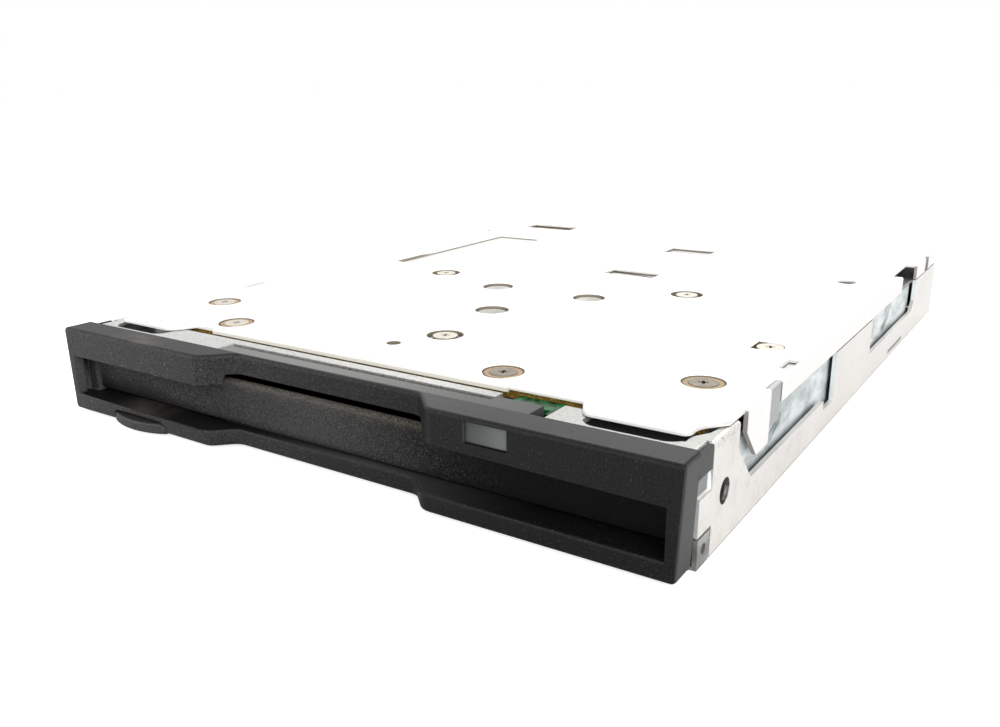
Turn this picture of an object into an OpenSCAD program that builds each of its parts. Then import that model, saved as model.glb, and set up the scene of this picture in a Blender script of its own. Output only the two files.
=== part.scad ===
// Slim 3.5-inch floppy disk drive for a portable computer, lying circuit side up.
// Millimetres, +Z up. The origin is the middle of the drive's base.
// Inside the modules y runs back from the bezel face; placed() moves it to the origin.

/* [Disk path] */
// Disk width across the slot
disk_w = 90; // [86:0.5:94]
// Disk length into the slot
disk_l = 94; // [93:0.5:98]
// Disk shell thickness
disk_t = 3.3; // [3.2:0.1:3.7]
// Gap each side of the disk in the cage
disk_side_gap = 0.6; // [0.4:0.05:0.8]
// Gap above the disk in the cage
disk_top_gap = 0.3; // [0.2:0.05:0.5]
// Loaded disk's near edge behind the bezel face
disk_inset = 4.7; // [4.5:0.1:6]

/* [Sheet metal] */
// Main frame sheet
frame_t = 0.6; // [0.5:0.05:0.8]
// Disk cage sheet
cage_t = 0.5; // [0.4:0.05:0.6]
// Eject slider sheet
slider_t = 0.5; // [0.4:0.05:0.6]
// Disk-side cover sheet
cover_t = 0.4; // [0.3:0.05:0.5]
// Circuit-side cover sheet
plate_t = 0.5; // [0.4:0.05:0.7]
// Gap between neighbouring sheets that slide
sheet_gap = 0.3; // [0.3:0.05:0.5]
// Gap between the slider and the frame wall
wall_gap = 0.5; // [0.45:0.05:0.7]
// Gap between fixed sheets that meet edge to edge
seam = 0.1; // [0.06:0.02:0.14]

/* [Front bezel] */
// Bezel depth, front to back
bezel_d = 4.2; // [4:0.1:4.6]
// Bezel bottom above the base
bezel_foot = 0.5; // [0.45:0.05:0.7]
// Bezel top below the circuit cover
bezel_drop = 0.05; // [0.05:0.05:0.3]
// Sideways draft of each bezel end
bezel_draft = 0.25; // [0.1:0.05:0.4]
// Height of the lip below the slot
lower_lip = 2.3; // [2.1:0.05:2.4]
// Height of the lip above the slot
upper_lip = 4.25; // [4:0.05:4.5]
// Front wall thickness at the slot ends
bezel_wall = 1.45; // [1.2:0.05:1.8]
// Solid end of the bezel beside the slot
bezel_end = 1.4; // [1.2:0.05:1.6]
// Depth of the upper lip before its rebate
rebate_y = 2.6; // [2.2:0.1:2.8]
// Rise of the rebate behind the upper lip
rebate_rise = 1.5; // [1.4:0.05:1.7]
// Width of the finger cut at its back
finger_w = 30; // [24:1:34]
// Depth of the finger cut in the upper lip
finger_d = 3.8; // [3.4:0.1:3.9]
// Depth of the finger cut in the lower lip
finger_low_d = 2.8; // [2.4:0.1:3]
// Back edge of the bezel roof over the finger cut
roof_y = 6.1; // [5.6:0.1:6.2]
// Length of the ear behind each bezel end
ear_l = 3.5; // [3:0.1:3.6]
// Height of the ear behind each bezel end
ear_h = 2.5; // [2:0.1:2.6]

/* [Slot flap] */
// Flap panel thickness
flap_t = 0.9; // [0.7:0.05:1]
// Flap face behind the bezel face
flap_y = 3.4; // [3.2:0.05:3.5]
// Hinge barrel radius
flap_r = 0.55; // [0.5:0.05:0.6]
// Hinge pin radius
flap_pin_r = 0.4; // [0.35:0.05:0.42]
// Length of each hinge pin
flap_pin_l = 1.2; // [1:0.1:1.3]
// Gap above the lower lip
flap_gap = 0.3; // [0.3:0.05:0.5]
// Room between the hinge barrel and the rebate
flap_room = 0.8; // [0.7:0.05:0.9]
// Hinge lug depth
lug_d = 2; // [1.8:0.1:2.2]
// Height left free for the flap spring
flap_spring_h = 1.1; // [1:0.05:1.3]
// Width left free for the flap spring
flap_spring_w = 2.4; // [2.3:0.1:3]
// Running clearance of small pins
pin_clear = 0.05; // [0.03:0.01:0.08]

/* [Eject button] */
// Button width
button_w = 11; // [9:0.5:13]
// Button height
button_h = 1.5; // [1.4:0.05:1.6]
// Button middle from the drive's centre line
button_x = -32.5; // [-36:0.5:-28]
// Button bottom above the base
button_z = 0.35; // [0.3:0.05:0.4]
// How far the button stands proud of the bezel
button_proud = 1.2; // [0.8:0.1:2]
// Corner radius of the button
button_r = 1.0; // [0.8:0.1:1.2]
// Gap around the button
button_gap = 0.3; // [0.3:0.05:0.4]
// Width of the slider tongue in the button
tongue_w = 5; // [4:0.5:6]
// Step of the tongue below the slider
tongue_step = 0.8; // [0.7:0.05:0.9]
// Button shank wall beside the tongue
shank_wall = 1; // [0.8:0.1:1.5]
// Back end of the button shank
shank_end = 6; // [5.5:0.1:6.5]

/* [Activity light] */
// Light window middle from the centre line
led_x = 26.4; // [24:0.2:27]
// Light window width
led_w = 5.5; // [5:0.1:6]
// Light window height
led_h = 2.5; // [2.2:0.1:2.6]
// Bezel left above the light window
led_top = 0.55; // [0.5:0.05:0.8]
// Lens face behind the bezel face
lens_inset = 0.4; // [0.2:0.05:0.6]
// Lens front plate thickness
lens_t = 1.2; // [1:0.05:1.3]
// Back of the lens housing
led_back = 7.3; // [6.8:0.1:7.5]
// Lens housing wall at the side
led_wall = 0.4; // [0.3:0.05:0.5]
// Lens housing floor
led_floor = 0.3; // [0.25:0.05:0.4]
// Lens housing roof below the window's top
led_roof = 0.2; // [0.15:0.05:0.3]
// Lamp holder width
holder_w = 6; // [5:0.1:6.4]
// Lamp holder middle from the lens middle
holder_off = 0.6; // [0.4:0.1:0.8]
// Gap between lens and lamp holder
holder_gap = 0.4; // [0.3:0.05:0.6]
// Lamp holder overlap under the board
holder_lap = 1.5; // [1.2:0.1:2]
// Lamp holder above the board's underside
holder_rise = 0.65; // [0.5:0.05:0.8]
// Lamp holder leg
holder_leg = 0.6; // [0.5:0.05:0.7]

/* [Eject mechanism] */
// Eject slider travel
eject_travel = 5; // [4:0.25:5.5]
// Cage lift at full travel
cage_lift = 2; // [1.6:0.1:2.4]
// Cam pin radius
cam_pin_r = 0.7; // [0.6:0.05:0.9]
// Front cam pin from the bezel face
cam_front_y = 28; // [24:1:40]
// Distance between the cam pins
cam_pitch = 62; // [55:1:66]
// Spring outside diameter
spring_od = 1.2; // [1:0.05:1.4]
// Spring wire diameter
spring_wire = 0.25; // [0.2:0.01:0.3]
// Eject spring length at rest
spring_l = 15; // [13:0.5:17]
// Turns in each eject spring
spring_turns = 12; // [8:1:16]
// Cage front edge from the bezel face
cage_front = 12; // [11.5:0.25:14]
// Width of the lip that holds the disk down
cage_lip = 3.5; // [3:0.1:4.5]
// Width of the head window in the cage
head_window = 16; // [14:0.5:17]
// Guide post radius
post_r = 1; // [0.8:0.05:1.2]
// Guide posts behind the disk
post_out = 4.3; // [4:0.1:4.6]
// Guide posts from the centre line
post_x = 36; // [34:0.5:38]
// Cage ear around the guide post, width
cage_ear_x = 28; // [26:0.5:30]
// Cage ear past the guide post
cage_ear_l = 4; // [3:0.1:4.5]
// Cam pin above the cage floor
cam_rise = 1.8; // [1.6:0.05:1.9]
// Spring line inside the frame wall
spring_inset = 6.2; // [5.8:0.1:6.6]
// Spring stop sheet
stop_t = 0.6; // [0.5:0.05:0.7]
// Spring stop from the cage front
stop_y = 4.5; // [4.2:0.1:4.8]
// Spring stop and spring tab width
stop_w = 2; // [1.6:0.1:2.2]
// Cross bar of the eject slider
slider_bar = 8.3; // [7:0.1:9]
// Side rail width of the eject slider
slider_rail = 3.5; // [3:0.1:4]
// Spring leg length past the spring
slider_leg = 1.4; // [1.2:0.1:1.8]

/* [Trigger lever] */
// Lever pivot from the centre line
lever_x = -38; // [-39:0.25:-37]
// Lever arm length
lever_l = 23.5; // [22.5:0.5:24]
// Lever boss radius
lever_boss_r = 3; // [2.6:0.1:3.2]
// Lever tip radius
lever_tip_r = 1.8; // [1.5:0.1:2]
// Gap around the lever pin in the cage
lever_gap = 0.3; // [0.3:0.05:0.5]
// Rivet head radius under the lever
rivet_head_r = 2.2; // [2:0.1:2.4]
// Rivet head thickness under the lever
rivet_head_t = 0.2; // [0.15:0.05:0.25]
// Lever pivot in front of the disk's far edge
lever_in = 6.7; // [6.4:0.1:7]
// Lever sheet thickness
lever_t = 0.7; // [0.6:0.05:0.75]
// Lever rest angle
lever_rest = -38; // [-44:1:-34]
// Lever swing
lever_swing = 57; // [40:1:60]
// Pivot rivet radius
lever_pivot_r = 1.2; // [1:0.05:1.4]
// Radius of the pin that meets the disk
lever_pin_r = 1; // [0.8:0.05:1.1]

/* [Circuit side] */
// Room for parts under the board
board_room = 1.3; // [1.2:0.05:1.6]
// Circuit board thickness
board_t = 1; // [0.8:0.05:1.2]
// Insulating film thickness
film_t = 0.1; // [0.08:0.01:0.2]
// Gap between the cover's front flange and the board
board_lip_gap = 0.1; // [0.1:0.05:0.4]
// Board edge inside the frame wall
board_side = 2; // [2:0.1:2.4]
// Board screw head radius
screw_head_r = 1.75; // [1.6:0.05:1.9]
// Screw shank radius
screw_r = 0.8; // [0.7:0.05:0.9]
// Access hole radius in the circuit cover
access_r = 2.6; // [2.4:0.05:2.8]
// Screw boss radius
boss_r = 2.4; // [2.2:0.05:2.6]
// Driver recess length in the screw heads
recess_l = 1.2; // [1:0.05:1.5]
// Driver recess width
recess_w = 0.36; // [0.3:0.02:0.44]
// Driver recess depth
recess_d = 0.3; // [0.2:0.05:0.4]
// Height of the fibre rings round the board screws
ring_h = 0.5; // [0.4:0.05:0.55]
// Outer board screws from the centre line
board_screw_x = 40.6; // [40:0.1:41.2]
// Outer board screws from the bezel face
board_screw_y = 24; // [23:0.25:25]
// Front right board screw from the centre line
front_screw_x = 18.9; // [18:0.1:20]
// Front left board screw from the centre line
left_screw_x = -28.1; // [-29:0.1:-27]
// Front board screws from the bezel face
front_screw_y = 15.4; // [15.2:0.1:16]
// Cover screw from the centre line
cover_screw_x = 42.4; // [42:0.1:42.6]
// Cover screw from the bezel face
cover_screw_y = 42.8; // [42:0.1:43.5]
// Sense switch plunger radius
plunger_r = 0.9; // [0.7:0.05:1]
// Sense switch travel
plunger_travel = 1.1; // [0.8:0.05:1.1]
// Sense switches from the bezel face
switch_y = 16.75; // [16.5:0.25:17]
// Sense switch housing length and width
switch_w = 6; // [5.5:0.1:6.2]
// Outer sense switches from the centre line
switch_x = 39; // [38.5:0.1:39.2]
// Distance of the second switch on the right
switch_pitch = 7.8; // [7.4:0.1:8]
// Switch housing reach below the web
switch_drop = 0.2; // [0.1:0.05:0.3]
// Plunger reach below the web
plunger_drop = 2.1; // [1.8:0.05:2.2]
// Chip case height
chip_h = 1; // [0.8:0.05:1]
// Controller chip width
chip_w = 10; // [8:0.5:11]
// Controller chip from the centre line
chip_x = -38; // [-39:0.5:-37]
// Controller chip from the bezel face
chip_y = 43; // [42:0.5:44]
// Read amplifier chip width
amp_w = 12; // [10:0.5:12]
// Read amplifier chip from the centre line
amp_x = -35; // [-36:0.5:-34]
// Read amplifier chip from the bezel face
amp_y = 84; // [82:0.5:86]
// Small chip width
driver_w = 6.5; // [5:0.5:7]
// Small chip length
driver_l = 11; // [9:0.5:12]
// Motor driver chip from the centre line
driver_x = 37.5; // [37:0.5:38]
// Motor driver chip from the bezel face
driver_y = 55.5; // [55:0.5:57]
// Front chip from the centre line
logic_x = -4; // [-6:0.5:-2]
// Front chip from the bezel face
logic_y = 16.2; // [16:0.1:17]
// Host connector middle from the centre line
conn_x = -28.5; // [-29:0.1:-28]
// Host connector width
conn_w = 27; // [24:0.5:27.5]
// Host connector depth
conn_d = 6.6; // [6:0.1:7]
// Host connector height
conn_h = 2.6; // [2.2:0.1:2.8]
// Gap around the host connector
conn_gap = 1; // [0.8:0.1:1.2]
// Host connector face inside the rear wall
conn_inset = 0.4; // [0.3:0.05:0.6]
// Host connector's side walls
conn_wall = 1.2; // [1:0.1:1.4]
// Host connector's slit for the flat cable
conn_slit = 0.5; // [0.4:0.05:0.6]

/* [Spindle motor] */
// Circle of the motor screws
motor_screw_r = 26.2; // [25:0.1:26.5]
// Motor base radius
motor_base_r = 29.3; // [29.2:0.1:30.5]
// Motor base sheet
motor_base_t = 0.8; // [0.6:0.05:0.9]
// Screw ear of the motor base past the screw head
motor_ear = 1; // [0.8:0.05:1.2]
// Gap between motor base and board
motor_gap = 0.5; // [0.4:0.05:0.8]
// Circle of the bearing rivets
rivet_circle_r = 10.1; // [9.4:0.1:10.6]
// Bearing rivet shank radius
rivet_r = 1; // [0.8:0.05:1.1]
// Bearing rivet head radius
rivet_cap_r = 2.2; // [2:0.05:2.4]
// Bearing rivet head height
rivet_cap_t = 0.25; // [0.2:0.05:0.35]
// Bearing sleeve radius
sleeve_r = 4.2; // [3.8:0.1:4.6]
// Bearing flange past the rivet circle
flange_rim = 2.1; // [1.8:0.1:2.4]
// Bearing flange thickness
flange_t = 0.6; // [0.5:0.05:0.7]
// Rotor radius
rotor_r = 19.3; // [18.8:0.1:20]
// Rotor sheet
rotor_t = 0.5; // [0.4:0.05:0.6]
// Ring magnet thickness
magnet_t = 1.6; // [1.4:0.05:1.8]
// Air gap between magnet and stator
air_gap = 0.5; // [0.4:0.05:0.7]
// Spindle shaft radius
shaft_r = 1.5; // [1.3:0.05:1.7]
// Shaft running clearance
shaft_clear = 0.03; // [0.02:0.01:0.05]
// Hub table radius
hub_r = 11; // [10:0.25:12]
// Hub table thickness
hub_t = 0.7; // [0.6:0.05:0.8]
// Shaft length past the hub table
shaft_tip = 1.5; // [1.2:0.05:1.6]
// Rotor rim past its sheet
rim_extra = 0.3; // [0.2:0.05:0.4]
// Rotor rim clearance to the motor base
rotor_gap = 0.4; // [0.3:0.05:0.5]
// Gap between rotor and web
web_gap = 2.2; // [1.8:0.1:2.4]
// Rotor floor below the web
rotor_drop = 0.7; // [0.6:0.05:0.8]
// Stator core thickness
core_t = 0.7; // [0.5:0.05:0.8]
// Stator core above the web's underside
core_rise = 0.35; // [0.3:0.05:0.4]
// Stator yoke radius
yoke_r = 8; // [7.5:0.1:8.4]
// Pole width
pole_w = 1.8; // [1.5:0.1:2]
// Pole shoe width
shoe_w = 5.2; // [4.6:0.1:5.6]
// Pole shoe thickness
shoe_t = 1; // [0.8:0.1:1.2]
// Winding thickness on the pole
winding_t = 0.9; // [0.7:0.05:1]
// Winding height above and below the core
winding_h = 0.2; // [0.15:0.05:0.22]
// Drive pin radius
drive_pin_r = 0.9; // [0.8:0.05:1]
// Drive pin inside the hub's rim
drive_pin_in = 1.8; // [1.5:0.1:2.5]
// Drive pin reach past the hub table
drive_pin_l = 0.9; // [0.7:0.05:1]
// Stator poles
poles = 9; // [6:1:12]

/* [Head carriage] */
// Outermost track radius
track0_r = 39.5; // [38:0.25:40]
// Head travel over all tracks
head_travel = 14.8; // [13.5:0.1:15.5]
// Carriage beam width
beam_w = 10; // [8:0.5:11]
// Carriage beam thickness
beam_t = 1.4; // [1.2:0.05:1.4]
// Gap between disk and carriage at the last track
carriage_gap = 1.5; // [1.3:0.1:1.8]
// Room behind the rod bushing
rear_room = 4.4; // [4.2:0.1:4.8]
// Carriage post depth
post_d = 5; // [4.8:0.1:6]
// Length of the rod bushing
bush_l = 14; // [12:0.5:16]
// Guide rod radius
rod_r = 1; // [0.8:0.05:1.2]
// Guide rod from the centre line
rod_x = -10; // [-10.2:0.1:-9.8]
// Guide rod running clearance
rod_clear = 0.04; // [0.02:0.01:0.08]
// Height of the screw and rod lines
drive_z = 6; // [5.8:0.1:6.2]
// Arm pin radius
arm_pin_r = 0.6; // [0.5:0.05:0.65]
// Arm pin height
arm_z = 3; // [2.9:0.05:3.1]
// Arm sheet thickness
arm_t = 0.8; // [0.6:0.05:0.9]
// Arm width
arm_w = 8; // [7:0.1:8.4]
// Arm underside below its pin
arm_drop = 1.9; // [1.8:0.05:1.95]
// Arm eye radius
arm_eye_r = 1.3; // [1.2:0.05:1.4]
// Arm spring pocket width
arm_pocket = 3; // [2.8:0.1:3.4]
// Arm pin fork, width of each leg
fork_w = 1.9; // [1.7:0.05:2]
// Gap between arm and fork
fork_gap = 0.3; // [0.3:0.05:0.4]
// Fork half depth
fork_d = 1.9; // [1.8:0.05:2]
// Head slider size
head_w = 5; // [4:0.1:5.4]
// Head slider length
head_l = 4; // [3.6:0.1:4.4]
// Gap between head and disk side
head_gap = 0.25; // [0.2:0.05:0.3]
// Beam past the head
beam_end = 2.2; // [2:0.1:2.6]
// Rod bushing half width
bush_r = 2.6; // [2.4:0.05:2.8]
// Rod line above the screw line
rod_rise = 0.8; // [0.7:0.05:0.9]
// Head flex thickness
flex_t = 0.15; // [0.1:0.01:0.2]
// Head flex width
flex_w = 3.8; // [3.4:0.1:4.2]
// Head flex loop length
flex_l = 11; // [10:0.1:12]
// Flex socket length
socket_l = 3; // [2.6:0.1:3.2]
// Flex socket width
socket_w = 6.4; // [6:0.1:7]
// Flex socket height
socket_h = 0.9; // [0.85:0.01:0.95]

/* [Head motor] */
// Lead screw from the centre line
screw_x = 17; // [16.5:0.25:18]
// Lead screw root radius
lead_root_r = 1; // [0.9:0.05:1.05]
// Lead screw crest radius
lead_crest_r = 1.3; // [1.25:0.05:1.4]
// Lead per turn
lead = 3.75; // [3.5:0.25:4]
// Lead screw journal radius
journal_r = 0.7; // [0.6:0.05:0.75]
// Follower pin radius
follower_r = 0.45; // [0.4:0.05:0.5]
// Stepping motor radius
stepper_r = 4.6; // [4.2:0.1:4.7]
// Stepping motor length
stepper_l = 12; // [10:0.25:12.5]
// Gap around the stepping motor in the web
stepper_gap = 0.6; // [0.5:0.05:0.8]
// Bracket sheet
bracket_t = 0.7; // [0.6:0.05:0.75]
// Bracket rail width
bracket_w = 6; // [5.6:0.1:6.4]
// Bracket bearing width
bearing_w = 4; // [3.6:0.1:4.2]
// Bracket flange at the motor, width
flange_w = 9.6; // [9:0.1:10]
// Bracket flange at the motor, reach below the screw
flange_drop = 4.4; // [4:0.1:4.5]
// First bracket screw behind the front bearing
bracket_screw_y = 5; // [4.8:0.1:5.5]
// Distance between the bracket screws
bracket_pitch = 9.5; // [8:0.1:10]
// Bracket screw head radius
bracket_head_r = 1.6; // [1.5:0.05:1.8]
// Bracket screw head height
bracket_head_t = 0.6; // [0.5:0.05:0.7]
// Motor face behind the carriage post's front
motor_out = 4.9; // [4.8:0.05:5.2]
// Front bearing behind the disk
screw_gap = 0.5; // [0.4:0.05:0.6]
// Follower block thickness
follower_t = 1.6; // [1.4:0.05:1.8]
// Follower block depth
follower_d = 2.2; // [2:0.1:2.4]
// Gap between follower block and lead screw
follower_gap = 1.2; // [1.1:0.05:1.4]

/* [Side mounts] */
// Mounting screw hole radius
mount_r = 1.45; // [1.2:0.05:1.6]
// Mounting screw from the bezel face
mount_y = 11.7; // [11.2:0.1:12]
// Mounting screw above the base
mount_z = 6; // [5.6:0.1:6.4]
// Collar around the mounting screw
mount_collar = 0.9; // [0.7:0.05:1.1]

/* [Side windows] */
// Front window of the frame wall, near end
win1_y = 15.3; // [15:0.1:15.6]
// Front window length
win1_l = 39.9; // [38:0.1:42]
// Rear window, near end
win2_y = 76.9; // [72:0.1:78]
// Rear window length
win2_l = 36.1; // [34:0.1:37]
// Lower edge of the side windows
win_z = 4.45; // [4.2:0.05:4.8]
// Folded tab of the circuit cover, width
tab_w = 7.7; // [7:0.1:8]
// Folded tab reach below the cover
tab_drop = 6.4; // [5.5:0.1:6.6]
// Folded tab behind the front window's near end
tab_in = 2.4; // [2.2:0.1:2.6]
// Folded tab, height of its straight front edge
tab_edge = 2.2; // [2:0.1:2.4]
// Folded tab, run of its slanted front edge
tab_slant = 3.6; // [3.2:0.1:4]
// Slope at the front window's near end
win_slope = 4.8; // [4.4:0.1:5.2]
// Height where that slope ends
win_slope_z = 9.2; // [9:0.05:9.4]
// Low step at the front window's far end, length
win_step_l = 5.2; // [4.6:0.1:5.6]
// Low step at the front window's far end, depth
win_step_h = 1.35; // [1.2:0.05:1.5]
// Corner cut of the rear window, length
win_cut_l = 2; // [1.6:0.1:2.4]
// Corner cut of the rear window, height
win_cut_h = 1.75; // [1.5:0.05:2]
// Frame wall's front edge at the base
wall_foot_y = 8.2; // [8.1:0.05:8.4]
// Frame wall's front edge at the top
wall_top_y = 7.9; // [7.8:0.05:8]
// Frame wall's nose, front edge
nose_y = 4.6; // [4.4:0.05:4.8]
// Frame wall's nose, bottom
nose_z0 = 3.6; // [3.5:0.05:3.8]
// Frame wall's nose, top
nose_z1 = 7.6; // [7.4:0.05:7.8]
// Nose tab sheet
nose_tab_t = 0.6; // [0.5:0.05:0.7]
// Clip of the frame behind the folded tab, start
clip_y = 10.5; // [10.3:0.1:10.6]
// Clip length
clip_l = 3.5; // [3.2:0.1:3.6]
// Clip sheet
clip_t = 0.6; // [0.5:0.05:0.6]
// Clip reach below the cover
clip_drop = 4.2; // [3.8:0.1:4.4]
// Hook of the disk cover behind the rear window's near end
hook_y = 16; // [14:0.1:18]
// Hook length
hook_l = 11.2; // [10:0.1:12]
// Hook sheet
hook_t = 0.45; // [0.4:0.05:0.5]
// Hook above the base
hook_z = 0.85; // [0.8:0.05:0.9]
// Gap at each end of the hook
hook_gap = 0.4; // [0.3:0.05:0.5]
// Corner latch height
latch_h = 3.3; // [3:0.05:3.4]
// Corner latch end
latch_end = 7.9; // [7.6:0.05:8]
// Corner latch hole radius
latch_r = 0.6; // [0.5:0.05:0.7]
// Corner latch hole behind the bezel
latch_y = 2.2; // [2:0.1:2.3]
// Corner latch hole above the base
latch_z = 1.8; // [1.7:0.05:1.9]

/* [Front strip] */
// Gap between bezel and strip
strip_gap = 0.15; // [0.12:0.01:0.2]
// Strip back edge
strip_back = 10; // [9.8:0.1:10.2]
// Strip's narrow ends, start
strip_x = 34; // [33:0.1:35]
// Strip's narrow ends inside the frame wall
strip_in = 2.2; // [1.8:0.1:2.4]
// Strip's inner corner radius
strip_r = 2; // [1.6:0.1:2.2]
// Strip's narrow ends, back edge
strip_y = 6.1; // [5.9:0.1:6.3]
// Strip's wing at the wall, start of its slope
wing_y = 10.5; // [10.3:0.1:10.8]
// Strip's wing, inner edge past the strip's end
wing_in = 1.4; // [1.2:0.1:1.6]
// Strip's step beside the bezel roof
roof_step = 2; // [1.6:0.1:2.4]
// Gap between bezel roof and strip
roof_gap = 2.2; // [2:0.1:2.4]
// Strip's step beside the lamp holder
lamp_step = 4; // [3.9:0.1:4.2]
// Front edge of the web
web_front = 9; // [8.8:0.1:9.2]

/* [Circuit cover] */
// Front edge of the cover's shoulders
plate_front = 7.86; // [7.8:0.02:8]
// Front edge of the cover's middle
plate_lip_y = 10.9; // [10.7:0.05:10.9]
// Front edge of the notches beside the middle
plate_notch_y = 11.2; // [11:0.1:11.4]
// Left end of the cover's middle edge
plate_left = -28.2; // [-29:0.1:-27]
// Right end of the cover's middle edge
plate_right = 22.3; // [22:0.1:22.4]
// Slant beside the left notch, far end
left_slant = -34.2; // [-34.6:0.1:-34]
// Slant beside the left notch, near end
left_notch = -32; // [-32.4:0.1:-31.6]
// Slant beside the lamp notch, near end
right_notch = 31.9; // [31.6:0.1:32.2]
// Slant beside the lamp notch, far end
right_slant = 33.6; // [33.2:0.1:34]
// Outer corner of the shoulders inside the frame wall
shoulder_in = 2; // [1.8:0.1:2.4]
// Start of the shoulder's slope
shoulder_y0 = 10.5; // [10.2:0.1:10.8]
// End of the shoulder's slope
shoulder_y1 = 13.2; // [12.8:0.1:13.6]
// Cover edge inside the side face in front of the tab
edge_inset = 0.4; // [0.3:0.05:0.5]
// Front flange height
plate_flange = 0.25; // [0.2:0.05:0.4]
// Small sight hole radius
sight_r = 1; // [0.8:0.1:1.2]
// Small sight hole from the centre line
sight_x = -0.7; // [-1.5:0.1:0.5]
// Small sight hole from the bezel face
sight_y = 18.6; // [18:0.1:19]
// Rear sight hole radius
sight2_r = 1.6; // [1.4:0.1:1.8]
// Rear sight hole from the cover's edge
sight2_in = 7.4; // [7:0.1:8]
// Rear sight hole from the rear wall
sight2_back = 43.8; // [42:0.1:46]
// Head windows, left edge
port_x = 1.2; // [0.8:0.1:1.6]
// Head windows, width
port_w = 9.6; // [9:0.1:10]
// First head window behind the spindle
port_y = 25.1; // [24.8:0.1:25.6]
// First head window length
port_l = 4.5; // [4:0.1:5]
// Second head window behind the first
port_pitch = 26.4; // [26:0.1:27]
// Second head window length
port2_l = 6.3; // [6:0.1:6.6]
// Label window, left edge
label_x = -39.8; // [-40:0.1:-39.4]
// Label window width
label_w = 11.2; // [10:0.1:11.4]
// Label window behind the spindle
label_out = 15.5; // [15:0.1:16]
// Label window length
label_l = 38.6; // [36:0.1:40]
// Label edge past the window
label_lap = 0.2; // [0.15:0.05:0.3]
// Cable slot, left edge
cable_x = -42; // [-42.4:0.1:-41.6]
// Cable slot width
cable_w = 12.2; // [11:0.1:12.4]
// Cable slot from the rear wall
cable_back = 14; // [13.6:0.1:14.4]
// Cable slot length
cable_l = 5.5; // [5:0.1:6]
// Edge slot inside the frame wall
edge_slot_w = 1.4; // [1.2:0.1:1.6]
// Edge slot from the bezel face
edge_slot_y = 34; // [33.5:0.1:34.5]
// Edge slot length
edge_slot_l = 4.7; // [4.4:0.1:5]
// Pry notch beside the cover screw, half width
pry_w = 1.9; // [1.7:0.05:2.1]
// Pry notch beside the cover screw, reach
pry_l = 2.1; // [1.9:0.05:2.3]
// Long edge gap, depth
gap_in = 2; // [1.8:0.1:2.2]
// Long edge gap from the rear wall
gap_back = 34.8; // [34:0.1:36]
// Long edge gap length
gap_l = 13.4; // [12:0.1:14]
// Short edge gap from the rear wall
notch_back = 12.5; // [12.2:0.1:13]
// Short edge gap length
notch_l = 3.1; // [2.8:0.1:3.4]
// Side flange start behind the front window's near end
flange_start = 14.2; // [14.1:0.05:14.6]
// Gap between the side flange and the frame wall
flange_gap = 0.25; // [0.2:0.05:0.35]
// Head shield sheet
shield_t = 0.6; // [0.5:0.05:0.7]
// Head shield past the head windows
shield_lap = 0.7; // [0.5:0.1:1]
// Board from the rear wall
board_back = 2.2; // [2:0.1:2.6]
// Board's head cut behind the spindle
board_cut_y = 18.3; // [18:0.1:18.6]
// Board's head cut from the centre line
board_cut_x = -2; // [-2.2:0.1:-1.8]
// Film edge behind the board's front edge
film_inset = 0.6; // [0.4:0.05:0.8]
// Film gap around windows and screws
film_gap = 0.6; // [0.4:0.05:0.8]

/* [Hidden] */
$fn = 48;
over = 1;
slot_over = 4;
lever_turns = 1.2;
fine = 0.02;
clear = 0.2;

// Half width, built up from the disk outwards
cage_in = disk_w / 2 + disk_side_gap;
cage_out = cage_in + cage_t;
slider_in = cage_out + sheet_gap;
slider_out = slider_in + slider_t;
wall_in = slider_out + wall_gap;
half_w = wall_in + frame_t;

// Heights, built up from the base
slider_z = cover_t + spring_od + clear;
cage_z = slider_z + slider_t + 2 * clear;
disk_z = cage_z + cage_t;
lip_z = disk_z + disk_t + disk_top_gap;
web_z = lip_z + cage_t + cage_lift + clear;
web_top = web_z + frame_t;
board_z = web_top + board_room;
board_top = board_z + board_t;
plate_z = board_top + film_t;
body_h = plate_z + plate_t;
lever_z = cage_z - clear - lever_t;
rivet_z = cover_t + clear + rivet_head_t;

// Depths, built up from the bezel face
board_front = plate_lip_y + plate_t + board_lip_gap;
spindle_y = disk_inset + disk_l / 2;
disk_end = disk_inset + disk_l;
head_y = spindle_y + track0_r;
carriage_y = disk_end + carriage_gap + head_travel;
rear_in = carriage_y + bush_l + rear_room;
body_d = rear_in + frame_t;
lever_y = disk_end - lever_in;
post_y = disk_end + post_out;
screw_front = disk_end + screw_gap;
motor_y = carriage_y + motor_out;
front_y = (button_proud - body_d) / 2;

// Bezel heights
bezel_top = body_h - bezel_drop;
low_z = bezel_foot + lower_lip;
up_z = bezel_top - upper_lip;
rebate_z = up_z + rebate_rise;
flap_axis_y = flap_y + flap_t / 2;
flap_axis_z = rebate_z - flap_room - flap_r;
flap_half = cage_in - seam;
lug_in = flap_half + sheet_gap;
lamp_z1 = bezel_top - led_top;
lamp_z0 = lamp_z1 - led_h;
strip_z = plate_z - seam - frame_t;
ear_z = strip_z + frame_t - ear_h;
tab_y = win1_y + tab_in;
rod_z = drive_z + rod_rise;
spring_x = wall_in - spring_inset;
spring_y = cage_front + stop_y + stop_t;
rod_y = screw_front + clear - frame_t;
motor_low = board_top - motor_base_t;
conn_end = conn_x + conn_w / 2;
strip_end = wall_in - strip_in;
label_y = spindle_y + label_out;
port_a = spindle_y + port_y;
port_b = port_a + port_pitch;
sight2_spot = [half_w - sight2_in, body_d - sight2_back];

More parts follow.
